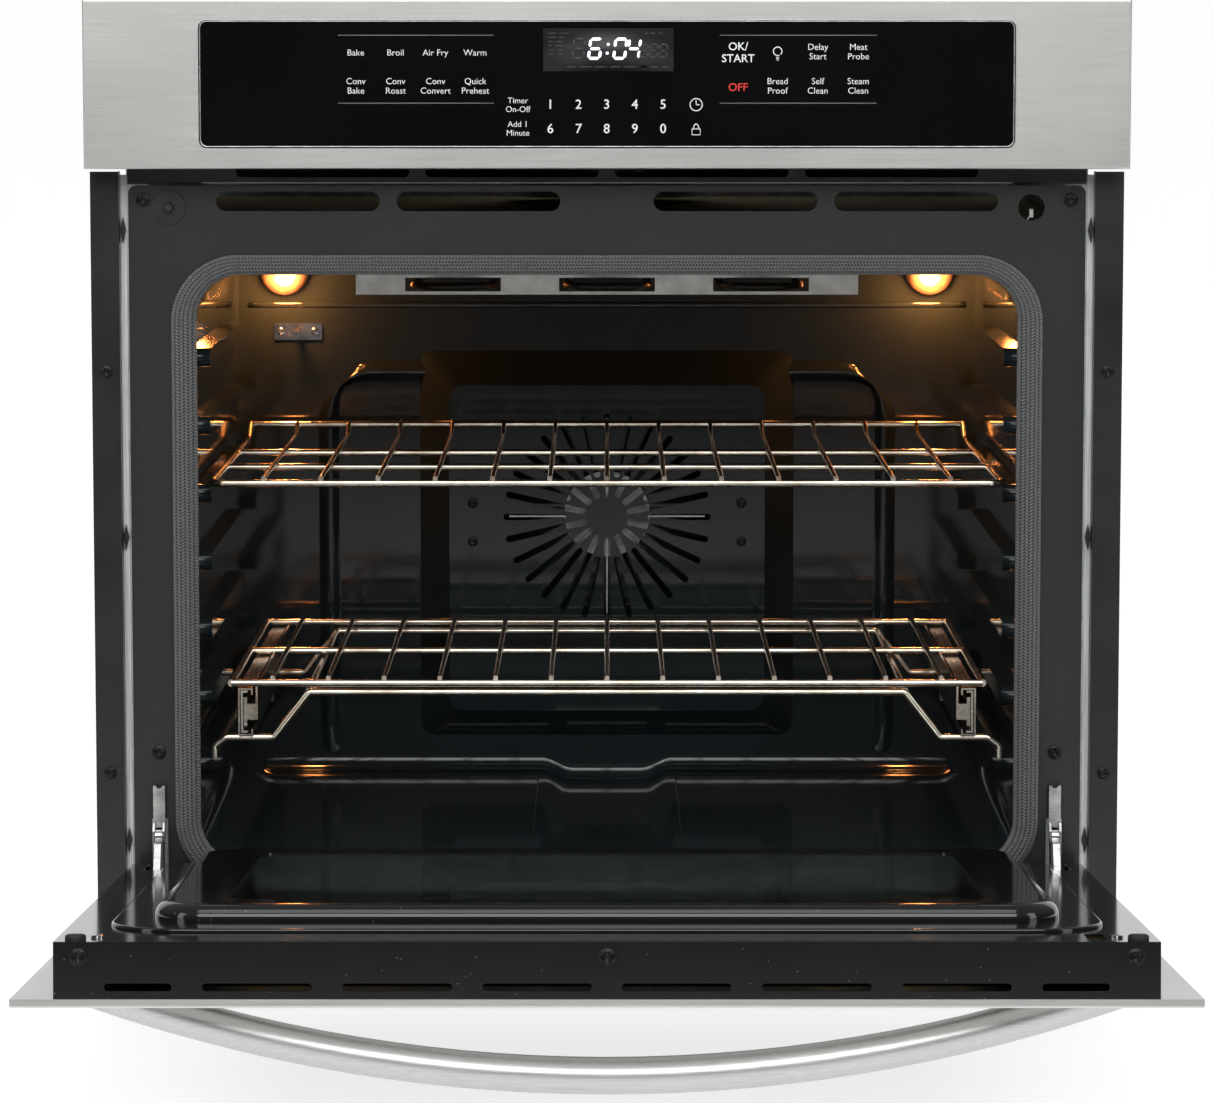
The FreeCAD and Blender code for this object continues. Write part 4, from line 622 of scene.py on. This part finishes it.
def print_piece(name, material, grids, thick):
    """Flat printed shapes given a thickness, so that each is a closed film."""
    piece = grid_piece(name, material, *grids)
    film = piece.modifiers.new("film", "SOLIDIFY")
    film.thickness = thick
    film.offset = 0.0
    return piece


# ---------------------------------------------------------------- pieces


def node_box(name):
    """Lowest and highest corner of a node as arrays."""
    low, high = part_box(name)
    return np.array(low), np.array(high)


def make_gasket(look):
    """The seal as six knitted ribs: across the band the height is a flattened dome,
    (1 - |2t - 1|^3)^0.5, plus six half sine ribs, carried between the outer and the inner outline."""
    low, high = node_box("door_gasket")
    half = high[0]
    band_side, band_low, band_high = 19 * MM, 18 * MM, 14.7 * MM
    outer = rounded_outline(half, low[2], high[2], 50 * MM)
    inner = rounded_outline(half - band_side, low[2] + band_low, high[2] - band_high, 33 * MM)
    across = np.linspace(0, 1, 61)
    dome = np.power(np.clip(1 - np.abs(2 * across - 1) ** 3, 0, 1), 0.5)
    ribs = np.abs(np.sin(across * math.pi * look.gasket_ribs)) * dome
    depth = high[1] - low[1]
    rise = dome * (depth - 0.7 * MM) + ribs * 0.7 * MM
    flat = outer[:, None] * (1 - across[None, :, None]) + inner[:, None] * across[None, :, None]
    face = np.zeros(flat.shape[:2] + (3,))
    face[..., 0], face[..., 2] = flat[..., 0], flat[..., 1]
    face[..., 1] = high[1] - rise[None]
    back = face[:, [-1, 0]].copy()
    grid = np.concatenate([face, back], 1)
    grid[:, -2:, 1] = high[1]
    travelled = np.concatenate([[0], np.cumsum(np.linalg.norm(np.diff(outer, axis=0), axis=1))])
    width = np.concatenate([across * band_side, [band_side, 0.0]])
    uv = np.stack(np.meshgrid(travelled, width, indexing="ij"), -1)
    piece = grid_piece("knitted_gasket", bpy.data.materials["knitted_glass_fibre"], grid, uv=uv)
    seated(piece, "cabinet", ["door_gasket"])


def make_screws():
    """Cross-recess screws on the front frame, the fan cover, the side trims and the probe's plate."""
    oxide = bpy.data.materials["black_oxide_screws"]
    chrome = bpy.data.materials["bright_plated_steel"]
    face = node_box("front_frame")[0][1]
    grids = []
    for side in SIDES:
        for x, z in ((343, 576.6), (335, 164.1)):
            grids += screw_grids((side * x * MM, face, z * MM), (0, -1, 0), (0, 0, 1),
                                 5.2 * MM, 2.4 * MM, 2.1 * MM, 6 * MM)
    cover = node_box("fan_cover")[0][1]
    for side in SIDES:
        for z in (307.6, 275.1):
            grids += screw_grids((side * 112.5 * MM, cover, z * MM), (0, -1, 0), (0, 0, 1),
                                 4.2 * MM, 2.2 * MM, 2.0 * MM, 6 * MM)
    trim = node_box("side_trim_left")[0][1]
    for side in SIDES:
        for z in (150, 450):
            grids += screw_grids((side * 370.5 * MM, trim, z * MM), (0, -1, 0), (0, 0, 1),
                                 4.6 * MM, 2.0 * MM, 2.3 * MM, 9 * MM)
    seated(crease(grid_piece("cabinet_screws", oxide, *grids)), "cabinet", ["body_screws"])
    plate = BACK_WALL - 1.5 * MM
    grids = []
    for x in (-273.5, -245):
        grids += screw_grids((x * MM, plate, 449.6 * MM), (0, -1, 0), (0, 0, 1),
                             3.2 * MM, 1.8 * MM, 1.5 * MM, 4 * MM)
    seated(crease(grid_piece("probe_screws", chrome, *grids)), "cabinet")


def open_door():
    """The hinge's point on the axis, and the open door's directions to its far edge and to its inner face."""
    hinge = next(joint for joint in frame["joints"] if joint["name"] == "door_hinge")
    opened = math.radians(hinge["range_deg"][1])
    outward = np.array([0, -math.sin(opened), math.cos(opened)])
    inward = np.array([0, math.cos(opened), math.sin(opened)])
    return np.array(hinge["pos_m"]), outward, inward


def make_door_screws():
    """Three black screws on the door's end face and two bright ones on its flange."""
    oxide = bpy.data.materials["black_oxide_screws"]
    chrome = bpy.data.materials["bright_plated_steel"]
    pivot, outward, inward = open_door()

    def on_door(x, away, up):
        """A point of the open door in mm: across, away from its axis to the inner face, up to its edge."""
        return pivot + np.array([x, 0, 0]) * MM + inward * away * MM + outward * up * MM
    grids = []
    for x in (-337, 0, 337):
        grids += screw_grids(on_door(x, 5.7, 527.4), outward, inward, 5.9 * MM, 2.6 * MM, 2.1 * MM, 9 * MM)
    seated(crease(grid_piece("door_end_screws", oxide, *grids)), "door", ["door_screws"])
    grids = []
    for side in SIDES:
        grids += screw_grids(on_door(side * 327, 15.5, 502.7), inward, -outward,
                             4.4 * MM, 2.4 * MM, 1.9 * MM, 7 * MM)
    seated(crease(grid_piece("door_flange_screws", chrome, *grids)), "door")


def make_springs():
    """The door's counterbalance springs as real coils: a helix of 1.9 mm wire in each hinge channel."""
    steel = bpy.data.materials["oiled_spring_steel"]
    pivot, outward, inward = open_door()
    turns, start, length, coil, wire = 44, 31 * MM, 153 * MM, 5.5 * MM, 0.95 * MM
    travel = np.linspace(0, 1, turns * 14)
    grids = []
    for side in SIDES:
        middle = pivot + np.array([side * 335 * MM, 0, 0]) - inward * 6 * MM
        path = (middle + outward * (start + travel * length)[:, None]
                + np.array([1.0, 0, 0]) * (coil * np.cos(travel * turns * 2 * math.pi))[:, None]
                + inward * (coil * np.sin(travel * turns * 2 * math.pi))[:, None])
        grids.append(tube_along(path, wire, 8))
    seated(grid_piece("hinge_coil_springs", steel, *grids), "door", ["hinge_springs"])


def make_wall_bead():
    """The stamped bead on the back wall: a ridge 21.6 mm wide whose height is half of 1 + cos, times 5 mm.

    It runs up from the floor, round two corners of 38 mm and in to the fan cover on each side."""
    enamel_dark = bpy.data.materials["cavity_enamel"]
    reach, foot, top, corner, end = 233.5 * MM, 92 * MM, 416.5 * MM, 38 * MM, 150 * MM
    turn = np.linspace(0, math.pi / 2, 24)
    rise = np.linspace(foot, top - corner, 30)[:-1]
    run = np.linspace(reach - corner, end, 14)[1:]
    x = np.concatenate([np.full(len(rise), reach), reach - corner + corner * np.cos(turn), run])
    z = np.concatenate([rise, top - corner + corner * np.sin(turn), np.full(len(run), top)])
    heading = np.gradient(np.stack([x, z], 1), axis=0)
    heading /= np.linalg.norm(heading, axis=1, keepdims=True)
    across = np.linspace(-1, 1, 21)
    half_wide, high = 10.8 * MM, 5 * MM
    lift = high * (0.5 + 0.5 * np.cos(across * math.pi))
    swell = np.ones(len(x))
    swell[:4] = [0.0, 0.5, 0.85, 0.97]
    grids = []
    for side in SIDES:
        grid = np.zeros((len(x), len(across) + 1, 3))
        wide = across * half_wide
        grid[:, :-1, 0] = side * (x[:, None] + heading[:, 1:] * wide[None])
        grid[:, :-1, 2] = z[:, None] + heading[:, :1] * wide[None]
        grid[:, :-1, 1] = BACK_WALL + 0.4 * MM - lift[None] * swell[:, None]
        grid[:, -1] = grid[:, 0]
        grids.append(grid)
    piece = grid_piece("back_wall_bead", enamel_dark, *grids)
    seated(piece, "cabinet")


def floor_height(across, along):
    """The drawn floor: its basin sinks 8.6 mm along an S, 3u^2 - 2u^3, from each side and from the front."""
    deep, soft, half, front = 8.6 * MM, 26 * MM, 55 * MM, 71 * MM
    inset = [np.clip(distance / soft, 0, 1) for distance in (half - np.abs(across), along - front)]
    falls = [3 * part**2 - 2 * part**3 for part in inset]
    return FLOOR + 0.35 * MM - deep * falls[0] * falls[1]


def bar_ends(bar):
    """A bar of closed outlines (places, points, 3) with each end drawn together to its middle."""
    first, last = [np.repeat(end.mean(1, keepdims=True), bar.shape[1], 1) for end in (bar[:1], bar[-1:])]
    return np.concatenate([first, bar, last])


def make_floor_basin():
    """The basin's drawn sheet on the cavity floor, 0.3 mm thick, its height from floor_height."""
    x = np.linspace(-58, 58, 73) * MM
    y = np.linspace(66, 485.5, 121) * MM
    across, along = np.meshgrid(x, y, indexing="ij")
    top = np.stack([across, along, floor_height(across, along)], -1)
    under = top[::-1].copy()
    under[..., 2] -= 0.3 * MM
    rim = np.concatenate([top, under, top[:1]])
    caps = [np.stack([top[:, place], under[::-1][:, place]]) for place in (0, -1)]
    piece = grid_piece("floor_basin", bpy.data.materials["cavity_enamel"], rim, *caps)
    seated(piece, "cabinet")


def make_floor_cove():
    """The cove along the floor's back: a quarter circle of 12 mm that follows the basin's height."""
    bend = 12 * MM
    x = np.concatenate([np.linspace(-288, -60, 24), np.linspace(-58, 58, 73), np.linspace(60, 288, 24)]) * MM
    turn = np.linspace(0, math.pi / 2, 15)
    base = floor_height(x, np.full(len(x), 450 * MM))
    cove = np.zeros((len(x), len(turn) + 2, 3))
    cove[..., 0] = x[:, None]
    cove[:, :-2, 1] = BACK_WALL - bend + bend * np.sin(turn)
    cove[:, :-2, 2] = base[:, None] + bend - bend * np.cos(turn)
    cove[:, -2, 1], cove[:, -2, 2] = BACK_WALL + 0.4 * MM, base - 0.2 * MM
    cove[:, -1] = cove[:, 0]
    piece = grid_piece("floor_cove", bpy.data.materials["cavity_enamel"], bar_ends(cove))
    seated(crease(piece), "cabinet")


def make_wall_seam():
    """The folded seam across the back wall: half an ellipse 5.2 mm high that stands 1.4 mm proud."""
    fold = np.linspace(0, math.pi, 13)
    x = np.linspace(-300, 300, 41) * MM
    seam = np.zeros((len(x), len(fold) + 1, 3))
    seam[..., 0] = x[:, None]
    seam[:, :-1, 1] = BACK_WALL + 0.2 * MM - 1.6 * MM * np.sin(fold)
    seam[:, :-1, 2] = 472.1 * MM - 2.6 * MM * np.cos(fold)
    seam[:, -1] = seam[:, 0]
    piece = grid_piece("back_wall_seam", bpy.data.materials["cavity_enamel"], bar_ends(seam))
    seated(piece, "cabinet")


def make_lettering(look):
    """Generic key words and digits printed on the control glass, and the thin lines over and under them."""
    low, high = node_box("panel_glass")
    face = low[1] - 0.05 * MM
    white = screen_ink("white_screen_ink", look.ink_colour, "d3d5d6")
    red = screen_ink("red_screen_ink", "e0332c", "cc2c26")
    grey = screen_ink("grey_screen_ink", "6d7072", "626567")
    up = (low[2] + high[2]) / 2

    small, digit_tall, large = 4.3, 6.4, 5.4
    columns_left = (-182.5, -153.6, -124.6, -95.7)
    columns_right = (123.9, 153.1, 182.5)
    words = [(label, x, 22.5, small) for x, label in zip(columns_left, ("Bake", "Broil", "Air Fry", "Warm"))]
    words += [(label, x, -1.6, small) for x, label in zip(
        columns_left, ("Conv\nBake", "Conv\nRoast", "Conv\nConvert", "Quick\nPreheat"))]
    words += [("Timer\nOn-Off", -64.8, -15.3, 4.0), ("Add 1\nMinute", -64.8, -32.4, 4.0)]
    for digits, z in (("12345", -15.0), ("67890", -32.6)):
        words += [(digit, -41.2 + place * 20.5, z, digit_tall) for place, digit in enumerate(digits)]
    words += [("OK/\nSTART", 95.2, 22.6, large)]
    words += [(label, x, 23.2, small) for x, label in zip(columns_right[1:], ("Delay\nStart", "Meat\nProbe"))]
    words += [(label, x, -1.6, small) for x, label in zip(
        columns_right, ("Bread\nProof", "Self\nClean", "Steam\nClean"))]
    bold = {"OK/\nSTART", "OFF", *"1234567890"}
    off_word = [("OFF", 95.2, -2.6, large)]
    for name, ink, lines in (("panel_words", white, words), ("panel_off_word", red, off_word)):
        made = [text_mesh(label, x * MM, up + z * MM, face, tall * MM, label in bold)
                for label, x, z, tall in lines]
        piece = join_meshes(name, made, ink)
        seated(piece, "cabinet")

    turn = np.linspace(0, 2 * math.pi, 41)[:-1]
    ring = np.stack([np.cos(turn), np.sin(turn)], 1)
    clock_at, lock_at, bulb_at = (np.array([64.8, -15.0]), np.array([64.8, -33.2]), np.array([123.9, 22.0]))
    opening = math.radians(-45.3)  # turns the gap of the bulb's ring to its neck
    cosine, sine = math.cos(opening), math.sin(opening)
    open_ring = ring[:33] @ np.array([[cosine, sine], [-sine, cosine]])

    def line(points, at, closed=False, width=0.75 * MM):
        """A printed line through points in mm from a symbol's middle."""
        place = (np.asarray(points, float) + at) * MM
        return ribbon(place + np.array([0, up]), width, face, closed)
    grids = [
        line(ring * 4.4, clock_at, True), line([(0, 3.2), (0, 1.6), (0, 0)], clock_at),
        line([(0, 0), (1.2, 0), (2.6, 0)], clock_at),
        line([(-3, -3.6), (3, -3.6), (3, 0.6), (-3, 0.6)], lock_at, True),
        line(ring[:21] * [1.9, 3.2] + [0, 1.0], lock_at),
        line(open_ring * 3.1 + [0, 1.6], bulb_at), line([(-1.3, -1.4), (0, -1.6), (1.3, -1.4)], bulb_at),
        line([(-1.2, -3.2), (0, -3.3), (1.2, -3.2)], bulb_at),
        line([(-0.8, -4.6), (0, -4.7), (0.8, -4.6)], bulb_at),
    ]
    seated(print_piece("panel_symbols", white, grids, 0.05 * MM), "cabinet")
    rules = [line([(left, z), ((left + right) / 2, z), (right, z)], np.zeros(2), width=0.7 * MM)
             for left, right in ((-195.5, -82.3), (82.0, 195.9)) for z in (35.2, -13.9)]
    seated(print_piece("panel_rules", grey, rules, 0.05 * MM), "cabinet")
    # A thin ribbon of bright plated steel along the glass's edge is a painted highlight of the glass's lit
    # rim.
    border = rounded_outline(high[0] - 0.9 * MM, low[2] + 0.9 * MM, high[2] - 0.9 * MM, 5.2 * MM, 12, 12)[:-1]
    rim = print_piece("painted_glass_rim_highlight", bpy.data.materials["bright_plated_steel"],
                      [ribbon(border, 0.8 * MM, face, True)], 0.05 * MM)
    seated(rim, "cabinet")


def text_mesh(text, x, z, face, tall, bold=False):
    """A mesh of centred text with capitals of a given height, standing in the X-Z plane."""
    curve = bpy.data.curves.new("lettering", "FONT")
    curve.body = text
    curve.align_x = "CENTER"
    curve.align_y = "CENTER"
    curve.size = tall / 0.66
    curve.space_line = 1.05
    curve.extrude = 0.03 * MM
    curve.offset = 0.012 * tall if bold else -0.006 * tall
    curve.resolution_u = 3
    holder = bpy.data.objects.new("lettering", curve)
    bpy.context.scene.collection.objects.link(holder)
    mesh = bpy.data.meshes.new_from_object(holder.evaluated_get(bpy.context.evaluated_depsgraph_get()))
    bpy.data.objects.remove(holder)
    mesh.transform(Matrix.Translation((x, face, z)) @ Matrix.Rotation(math.pi / 2, 4, "X"))
    return mesh


def join_meshes(name, meshes, material):
    """One object from several meshes, all of one material."""
    points, faces, start = [], [], 0
    for mesh in meshes:
        spots = np.zeros(len(mesh.vertices) * 3)
        mesh.vertices.foreach_get("co", spots)
        points.append(spots.reshape(-1, 3))
        faces += [[start + corner for corner in face.vertices] for face in mesh.polygons]
        start += len(mesh.vertices)
    whole = bpy.data.meshes.new(name)
    whole.from_pydata(np.concatenate(points), [], faces)
    whole.materials.append(material)
    piece = bpy.data.objects.new(name, whole)
    bpy.context.scene.collection.objects.link(piece)
    return piece


SEGMENTS = {"0": "abcdef", "1": "bc", "2": "abdeg", "3": "abcdg", "4": "bcfg",
            "5": "acdfg", "6": "acdefg", "7": "abc", "8": "abcdefg", "9": "abcdfg"}


def segment_grids(digit, x, z, tall, face):
    """The bars of one seven-bar digit: each a six-sided bar, leaning 7 degrees to the right."""
    wide, bar = tall * 0.5, tall * 0.13
    spots = {"a": (0, 1, 0), "d": (0, -1, 0), "g": (0, 0, 0), "b": (1, 0.5, 1), "c": (1, -0.5, 1),
             "e": (-1, -0.5, 1), "f": (-1, 0.5, 1)}
    grids = []
    for name in SEGMENTS[digit]:
        across, along, upright = spots[name]
        middle = np.array([across * wide / 2, along * tall / 2 if upright else along * (tall - bar) / 2])
        length = (tall / 2 - bar * 1.25) if upright else (wide - bar * 0.25)
        half, tip = length / 2, bar / 2
        shape = np.array([[(-half, 0), (-half, 0)], [(-half + tip, tip), (-half + tip, -tip)],
                          [(half - tip, tip), (half - tip, -tip)], [(half, 0), (half, 0)]])
        if upright:
            shape = shape[..., ::-1]
        shape = shape + middle
        grid = np.zeros(shape.shape[:2] + (3,))
        grid[..., 0] = x + shape[..., 0] + shape[..., 1] * math.tan(math.radians(7))
        grid[..., 1] = face
        grid[..., 2] = z + shape[..., 1]
        grids.append(grid)
    return grids


def make_display():
    """The lit clock in the control glass: a dark window, lit digits and the unlit ones round them."""
    glass_low, glass_high = node_box("panel_glass")
    face = glass_low[1]
    up = (glass_low[2] + glass_high[2]) / 2
    window = screen_ink("display_window_film", "101214", "151719")
    ghost = screen_ink("unlit_segments", "2b2e32", "33363a")
    lit = screen_ink("lit_segments", "f2f6ff", "e6ecf8", 1.2)
    low, high = np.array([-46.3, 9.2]) * MM, np.array([48.3, 40.2]) * MM
    corners = np.array([[[low[0], low[1]], [high[0], low[1]]], [[low[0], high[1]], [high[0], high[1]]]])
    plate = np.zeros((2, 2, 3))
    plate[..., 0], plate[..., 1], plate[..., 2] = corners[..., 0], face - 0.03 * MM, corners[..., 1] + up
    seated(print_piece("display_window", window, [plate], 0.04 * MM), "cabinet")
    ink_face = face - 0.08 * MM
    tall, z = 16 * MM, up + 25.5 * MM
    digits = ((-8.6, "6"), (9.6, "0"), (19.6, "4"))
    grids = [grid for x, digit in digits for grid in segment_grids(digit, x * MM, z, tall, ink_face)]
    dot = np.array([[-0.9, -0.9], [0.9, -0.9], [0.9, 0.9], [-0.9, 0.9]])[[0, 1, 3, 2]].reshape(2, 2, 2)
    for lift in (-3.2, 3.2):
        grid = np.zeros((2, 2, 3))
        grid[..., 0] = (dot[..., 0] + 0.5 + lift * 0.12) * MM
        grid[..., 1] = ink_face
        grid[..., 2] = z + (dot[..., 1] + lift) * MM
        grids.append(grid)
    seated(print_piece("lit_clock_digits", lit, grids, 0.04 * MM), "cabinet")
    unlit = segment_grids("8", -20.5 * MM, z, tall, ink_face)
    for x in (26.8, 33.8, 40.8):
        unlit += segment_grids("8", x * MM, z - 1.5 * MM, 10.5 * MM, ink_face)
    # Short bars stand for the small unlit words round the digits.
    rows = ((36.6, -43, 8), (33.6, -43, 7), (30.6, -43, 6), (27.6, -43, 7), (24.6, -43, 6), (21.6, -43, 8),
            (36.6, 27, 5), (12.4, -30, 10), (12.4, 2, 10), (12.4, 24, 9))
    generator = np.random.default_rng(7)
    for height, start, count in rows:
        x = float(start)
        for _ in range(2 if start == -43 else 3):
            length = float(generator.uniform(0.5, 1.0)) * count
            if x + length > 47 or (start == -43 and x + length > -27):
                break
            points = np.array([(x, height), (x + length / 2, height), (x + length, height)]) * MM
            unlit.append(ribbon(points + np.array([0, up]), 1.0 * MM, ink_face))
            x += length + 1.6
    seated(print_piece("unlit_display_marks", ghost, unlit, 0.04 * MM), "cabinet")


# ---------------------------------------------------------------- stage


def make_stage(stage):
    """A pale floor that curves up behind the oven, soft boxes, two warm cavity lamps and the camera."""
    scene = bpy.context.scene
    scene.view_settings.view_transform = "Standard"
    floor_material = start_material("pale_floor", Roughness=0.7, Emission_Color=linear("ffffff"))
    mottle = noise(floor_material, place_on(floor_material), 0.4)
    place = node(floor_material, "ShaderNodeTexCoord")
    split = node(floor_material, "ShaderNodeSeparateXYZ", {"Vector": place.outputs["Object"]})
    # The lit part of the floor ends a metre in front of the oven, so its dark faces stay dark.
    lit = between(floor_material, split.outputs["Y"], 0.0, stage.floor_glow, -1.9, -0.6)
    finish(floor_material, Base_Color=blended(floor_material, mottle, "a4a4a4", "acacac"),
           Emission_Strength=lit)
    level = cad_box[0][2] - 1.5 * MM
    bend, back, front, half = 2.0, 7.0, -9.0, 9.0
    turn = np.linspace(0, math.pi / 2, 16)
    y = np.concatenate([[front, -2.0, 0.0], back + bend * np.sin(turn), [back + bend]])
    z = np.concatenate([[0.0, 0.0, 0.0], bend - bend * np.cos(turn), [6.0]])
    x = np.linspace(-half, half, 9)
    grid = np.zeros((len(x), len(y), 3))
    grid[..., 0], grid[..., 1], grid[..., 2] = x[:, None], y[None], level + z[None]
    grid_piece("pale_floor", floor_material, grid)

    world = bpy.data.worlds.new("studio")
    world.use_nodes = True
    scene.world = world
    tree = world.node_tree
    tree.nodes.clear()
    direction = tree.nodes.new("ShaderNodeTexCoord")
    split = tree.nodes.new("ShaderNodeSeparateXYZ")
    ramp = tree.nodes.new("ShaderNodeMapRange")
    sky = tree.nodes.new("ShaderNodeBackground")
    output = tree.nodes.new("ShaderNodeOutputWorld")
    ramp.inputs["From Min"].default_value = 0.0
    ramp.inputs["From Max"].default_value = 0.6
    ramp.inputs["To Min"].default_value = stage.horizon_light
    ramp.inputs["To Max"].default_value = stage.sky_light
    tree.links.new(direction.outputs["Generated"], split.inputs[0])
    tree.links.new(split.outputs["Z"], ramp.inputs["Value"])
    tree.links.new(ramp.outputs["Result"], sky.inputs["Strength"])
    tree.links.new(sky.outputs[0], output.inputs["Surface"])

    middle = (0.0, 0.0, 0.35)

    def soft_box(name, place, wide, tall, power):
        """A rectangular area light that faces the oven's middle."""
        light = bpy.data.lights.new(name, "AREA")
        light.shape = "RECTANGLE"
        light.size, light.size_y, light.energy = wide, tall, power
        holder = bpy.data.objects.new(name, light)
        holder.location = place
        holder.rotation_euler = (Vector(middle) - Vector(place)).to_track_quat("-Z", "Y").to_euler()
        scene.collection.objects.link(holder)
    soft_box("overhead_soft_box", (0.0, -1.6, 2.6), 2.6, 1.4, stage.key_power)
    soft_box("front_soft_box", (0.0, -3.2, 1.9), 3.6, 1.2, stage.front_power)
    for side in SIDES:
        soft_box(f"side_soft_box_{'left' if side < 0 else 'right'}", (side * 3.0, -1.8, 1.2),
                 0.9, 1.8, stage.side_power)
    for side in SIDES:
        glow = bpy.data.lights.new("cavity_lamp", "POINT")
        glow.energy = stage.lamp_power
        glow.shadow_soft_size = 0.012
        glow.color = linear("ff9c50")[:3]
        holder = bpy.data.objects.new("cavity_lamp", glow)
        holder.location = (side * LAMP_ACROSS, 0.458, 0.492)
        scene.collection.objects.link(holder)

    camera = bpy.data.cameras.new("camera")
    camera.sensor_width = 36.0
    camera.lens = stage.lens
    holder = bpy.data.objects.new("camera", camera)
    holder.location = (0.0, -stage.camera_away, stage.camera_high)
    holder.rotation_euler = (math.radians(90 - stage.camera_tilt), 0.0, 0.0)
    scene.collection.objects.link(holder)
    scene.camera = holder


# ---------------------------------------------------------------- add-on


class OvenLook(bpy.types.PropertyGroup):
    """What a user would change on the oven itself."""
    steel_colour: StringProperty(name="Steel", description="Light tone of the brushed steel, sRGB hex",
                                 default="d4d3d0")
    ink_colour: StringProperty(name="Ink", description="Colour of the panel's print, sRGB hex",
                               default="eceded")
    lamp_glow: FloatProperty(name="Lamp glow", description="Emission strength of the lamp glass",
                             default=0.9, min=0.0)
    gasket_ribs: IntProperty(name="Gasket ribs", description="Knitted ribs across the seal", default=6, min=1)


class OvenStage(bpy.types.PropertyGroup):
    """What a user would change on the floor, the lights and the camera."""
    lens: FloatProperty(name="Lens", description="Focal length in millimetres", default=144.9, min=10.0)
    camera_away: FloatProperty(name="Distance", description="Camera in front of the trims", default=3.61,
                               unit="LENGTH", subtype="DISTANCE")
    camera_high: FloatProperty(name="Height", description="Camera over the base", default=0.7031,
                               unit="LENGTH", subtype="DISTANCE")
    camera_tilt: FloatProperty(name="Tilt", description="Degrees below the horizon", default=6.12)
    floor_glow: FloatProperty(name="Floor glow", description="Light of the floor itself", default=0.78,
                              min=0.0)
    horizon_light: FloatProperty(name="Horizon", description="Studio light level with the eye",
                                 default=0.07, min=0.0)
    sky_light: FloatProperty(name="Sky", description="Studio light from above", default=0.42, min=0.0)
    key_power: FloatProperty(name="Overhead", description="Power of the overhead soft box, W", default=26.0)
    front_power: FloatProperty(name="Front", description="Power of the front soft box, W", default=62.0)
    side_power: FloatProperty(name="Sides", description="Power of each side soft box, W", default=14.0)
    lamp_power: FloatProperty(name="Cavity lamps", description="Power of each cavity lamp, W", default=1.2)


class OVEN_OT_finishes(bpy.types.Operator):
    """Give every node its finish."""
    bl_idname = "oven.finishes"
    bl_label = "Paint the oven"

    def execute(self, context):
        paint_nodes(context.scene.oven_look)
        return {"FINISHED"}


class OVEN_OT_gasket(bpy.types.Operator):
    """Knit the door gasket."""
    bl_idname = "oven.gasket"
    bl_label = "Gasket"

    def execute(self, context):
        make_gasket(context.scene.oven_look)
        return {"FINISHED"}


class OVEN_OT_screws(bpy.types.Operator):
    """Add the cabinet's cross-recess screws."""
    bl_idname = "oven.screws"
    bl_label = "Cabinet screws"

    def execute(self, context):
        make_screws()
        return {"FINISHED"}


class OVEN_OT_door_screws(bpy.types.Operator):
    """Add the door's screws."""
    bl_idname = "oven.door_screws"
    bl_label = "Door screws"

    def execute(self, context):
        make_door_screws()
        return {"FINISHED"}


class OVEN_OT_springs(bpy.types.Operator):
    """Wind the door's springs."""
    bl_idname = "oven.springs"
    bl_label = "Hinge springs"

    def execute(self, context):
        make_springs()
        return {"FINISHED"}


class OVEN_OT_wall_bead(bpy.types.Operator):
    """Raise the bead on the cavity's back wall."""
    bl_idname = "oven.wall_bead"
    bl_label = "Back wall bead"

    def execute(self, context):
        make_wall_bead()
        return {"FINISHED"}


class OVEN_OT_floor_basin(bpy.types.Operator):
    """Draw the floor's basin and cove and the back wall's seam."""
    bl_idname = "oven.floor_basin"
    bl_label = "Floor and seam"

    def execute(self, context):
        make_floor_basin()
        make_floor_cove()
        make_wall_seam()
        return {"FINISHED"}


class OVEN_OT_lettering(bpy.types.Operator):
    """Print the control glass."""
    bl_idname = "oven.lettering"
    bl_label = "Panel print"

    def execute(self, context):
        make_lettering(context.scene.oven_look)
        return {"FINISHED"}


class OVEN_OT_display(bpy.types.Operator):
    """Light the clock."""
    bl_idname = "oven.display"
    bl_label = "Display"

    def execute(self, context):
        make_display()
        return {"FINISHED"}


class OVEN_OT_stage(bpy.types.Operator):
    """Set the floor, the lights and the camera."""
    bl_idname = "oven.stage"
    bl_label = "Stage"

    def execute(self, context):
        make_stage(context.scene.oven_stage)
        return {"FINISHED"}


OPERATORS = (OVEN_OT_finishes, OVEN_OT_gasket, OVEN_OT_screws, OVEN_OT_door_screws, OVEN_OT_springs,
             OVEN_OT_wall_bead, OVEN_OT_floor_basin, OVEN_OT_lettering, OVEN_OT_display, OVEN_OT_stage)


class OVEN_PT_panel(bpy.types.Panel):
    """Lists the oven's pieces in the sidebar."""
    bl_label = "Wall oven"
    bl_idname = "OVEN_PT_panel"
    bl_space_type = "VIEW_3D"
    bl_region_type = "UI"
    bl_category = "Wall oven"

    def draw(self, context):
        for operator in OPERATORS:
            self.layout.operator(operator.bl_idname)


CLASSES = (OvenLook, OvenStage) + OPERATORS + (OVEN_PT_panel,)


def register():
    for made in CLASSES:
        bpy.utils.register_class(made)
    bpy.types.Scene.oven_look = PointerProperty(type=OvenLook)
    bpy.types.Scene.oven_stage = PointerProperty(type=OvenStage)


def unregister():
    del bpy.types.Scene.oven_look
    del bpy.types.Scene.oven_stage
    for made in reversed(CLASSES):
        bpy.utils.unregister_class(made)


def main():
    """Make every piece and the stage."""
    register()
    for operator in OPERATORS:
        getattr(bpy.ops.oven, operator.bl_idname.split(".")[1])()


if __name__ == "__main__":
    main()
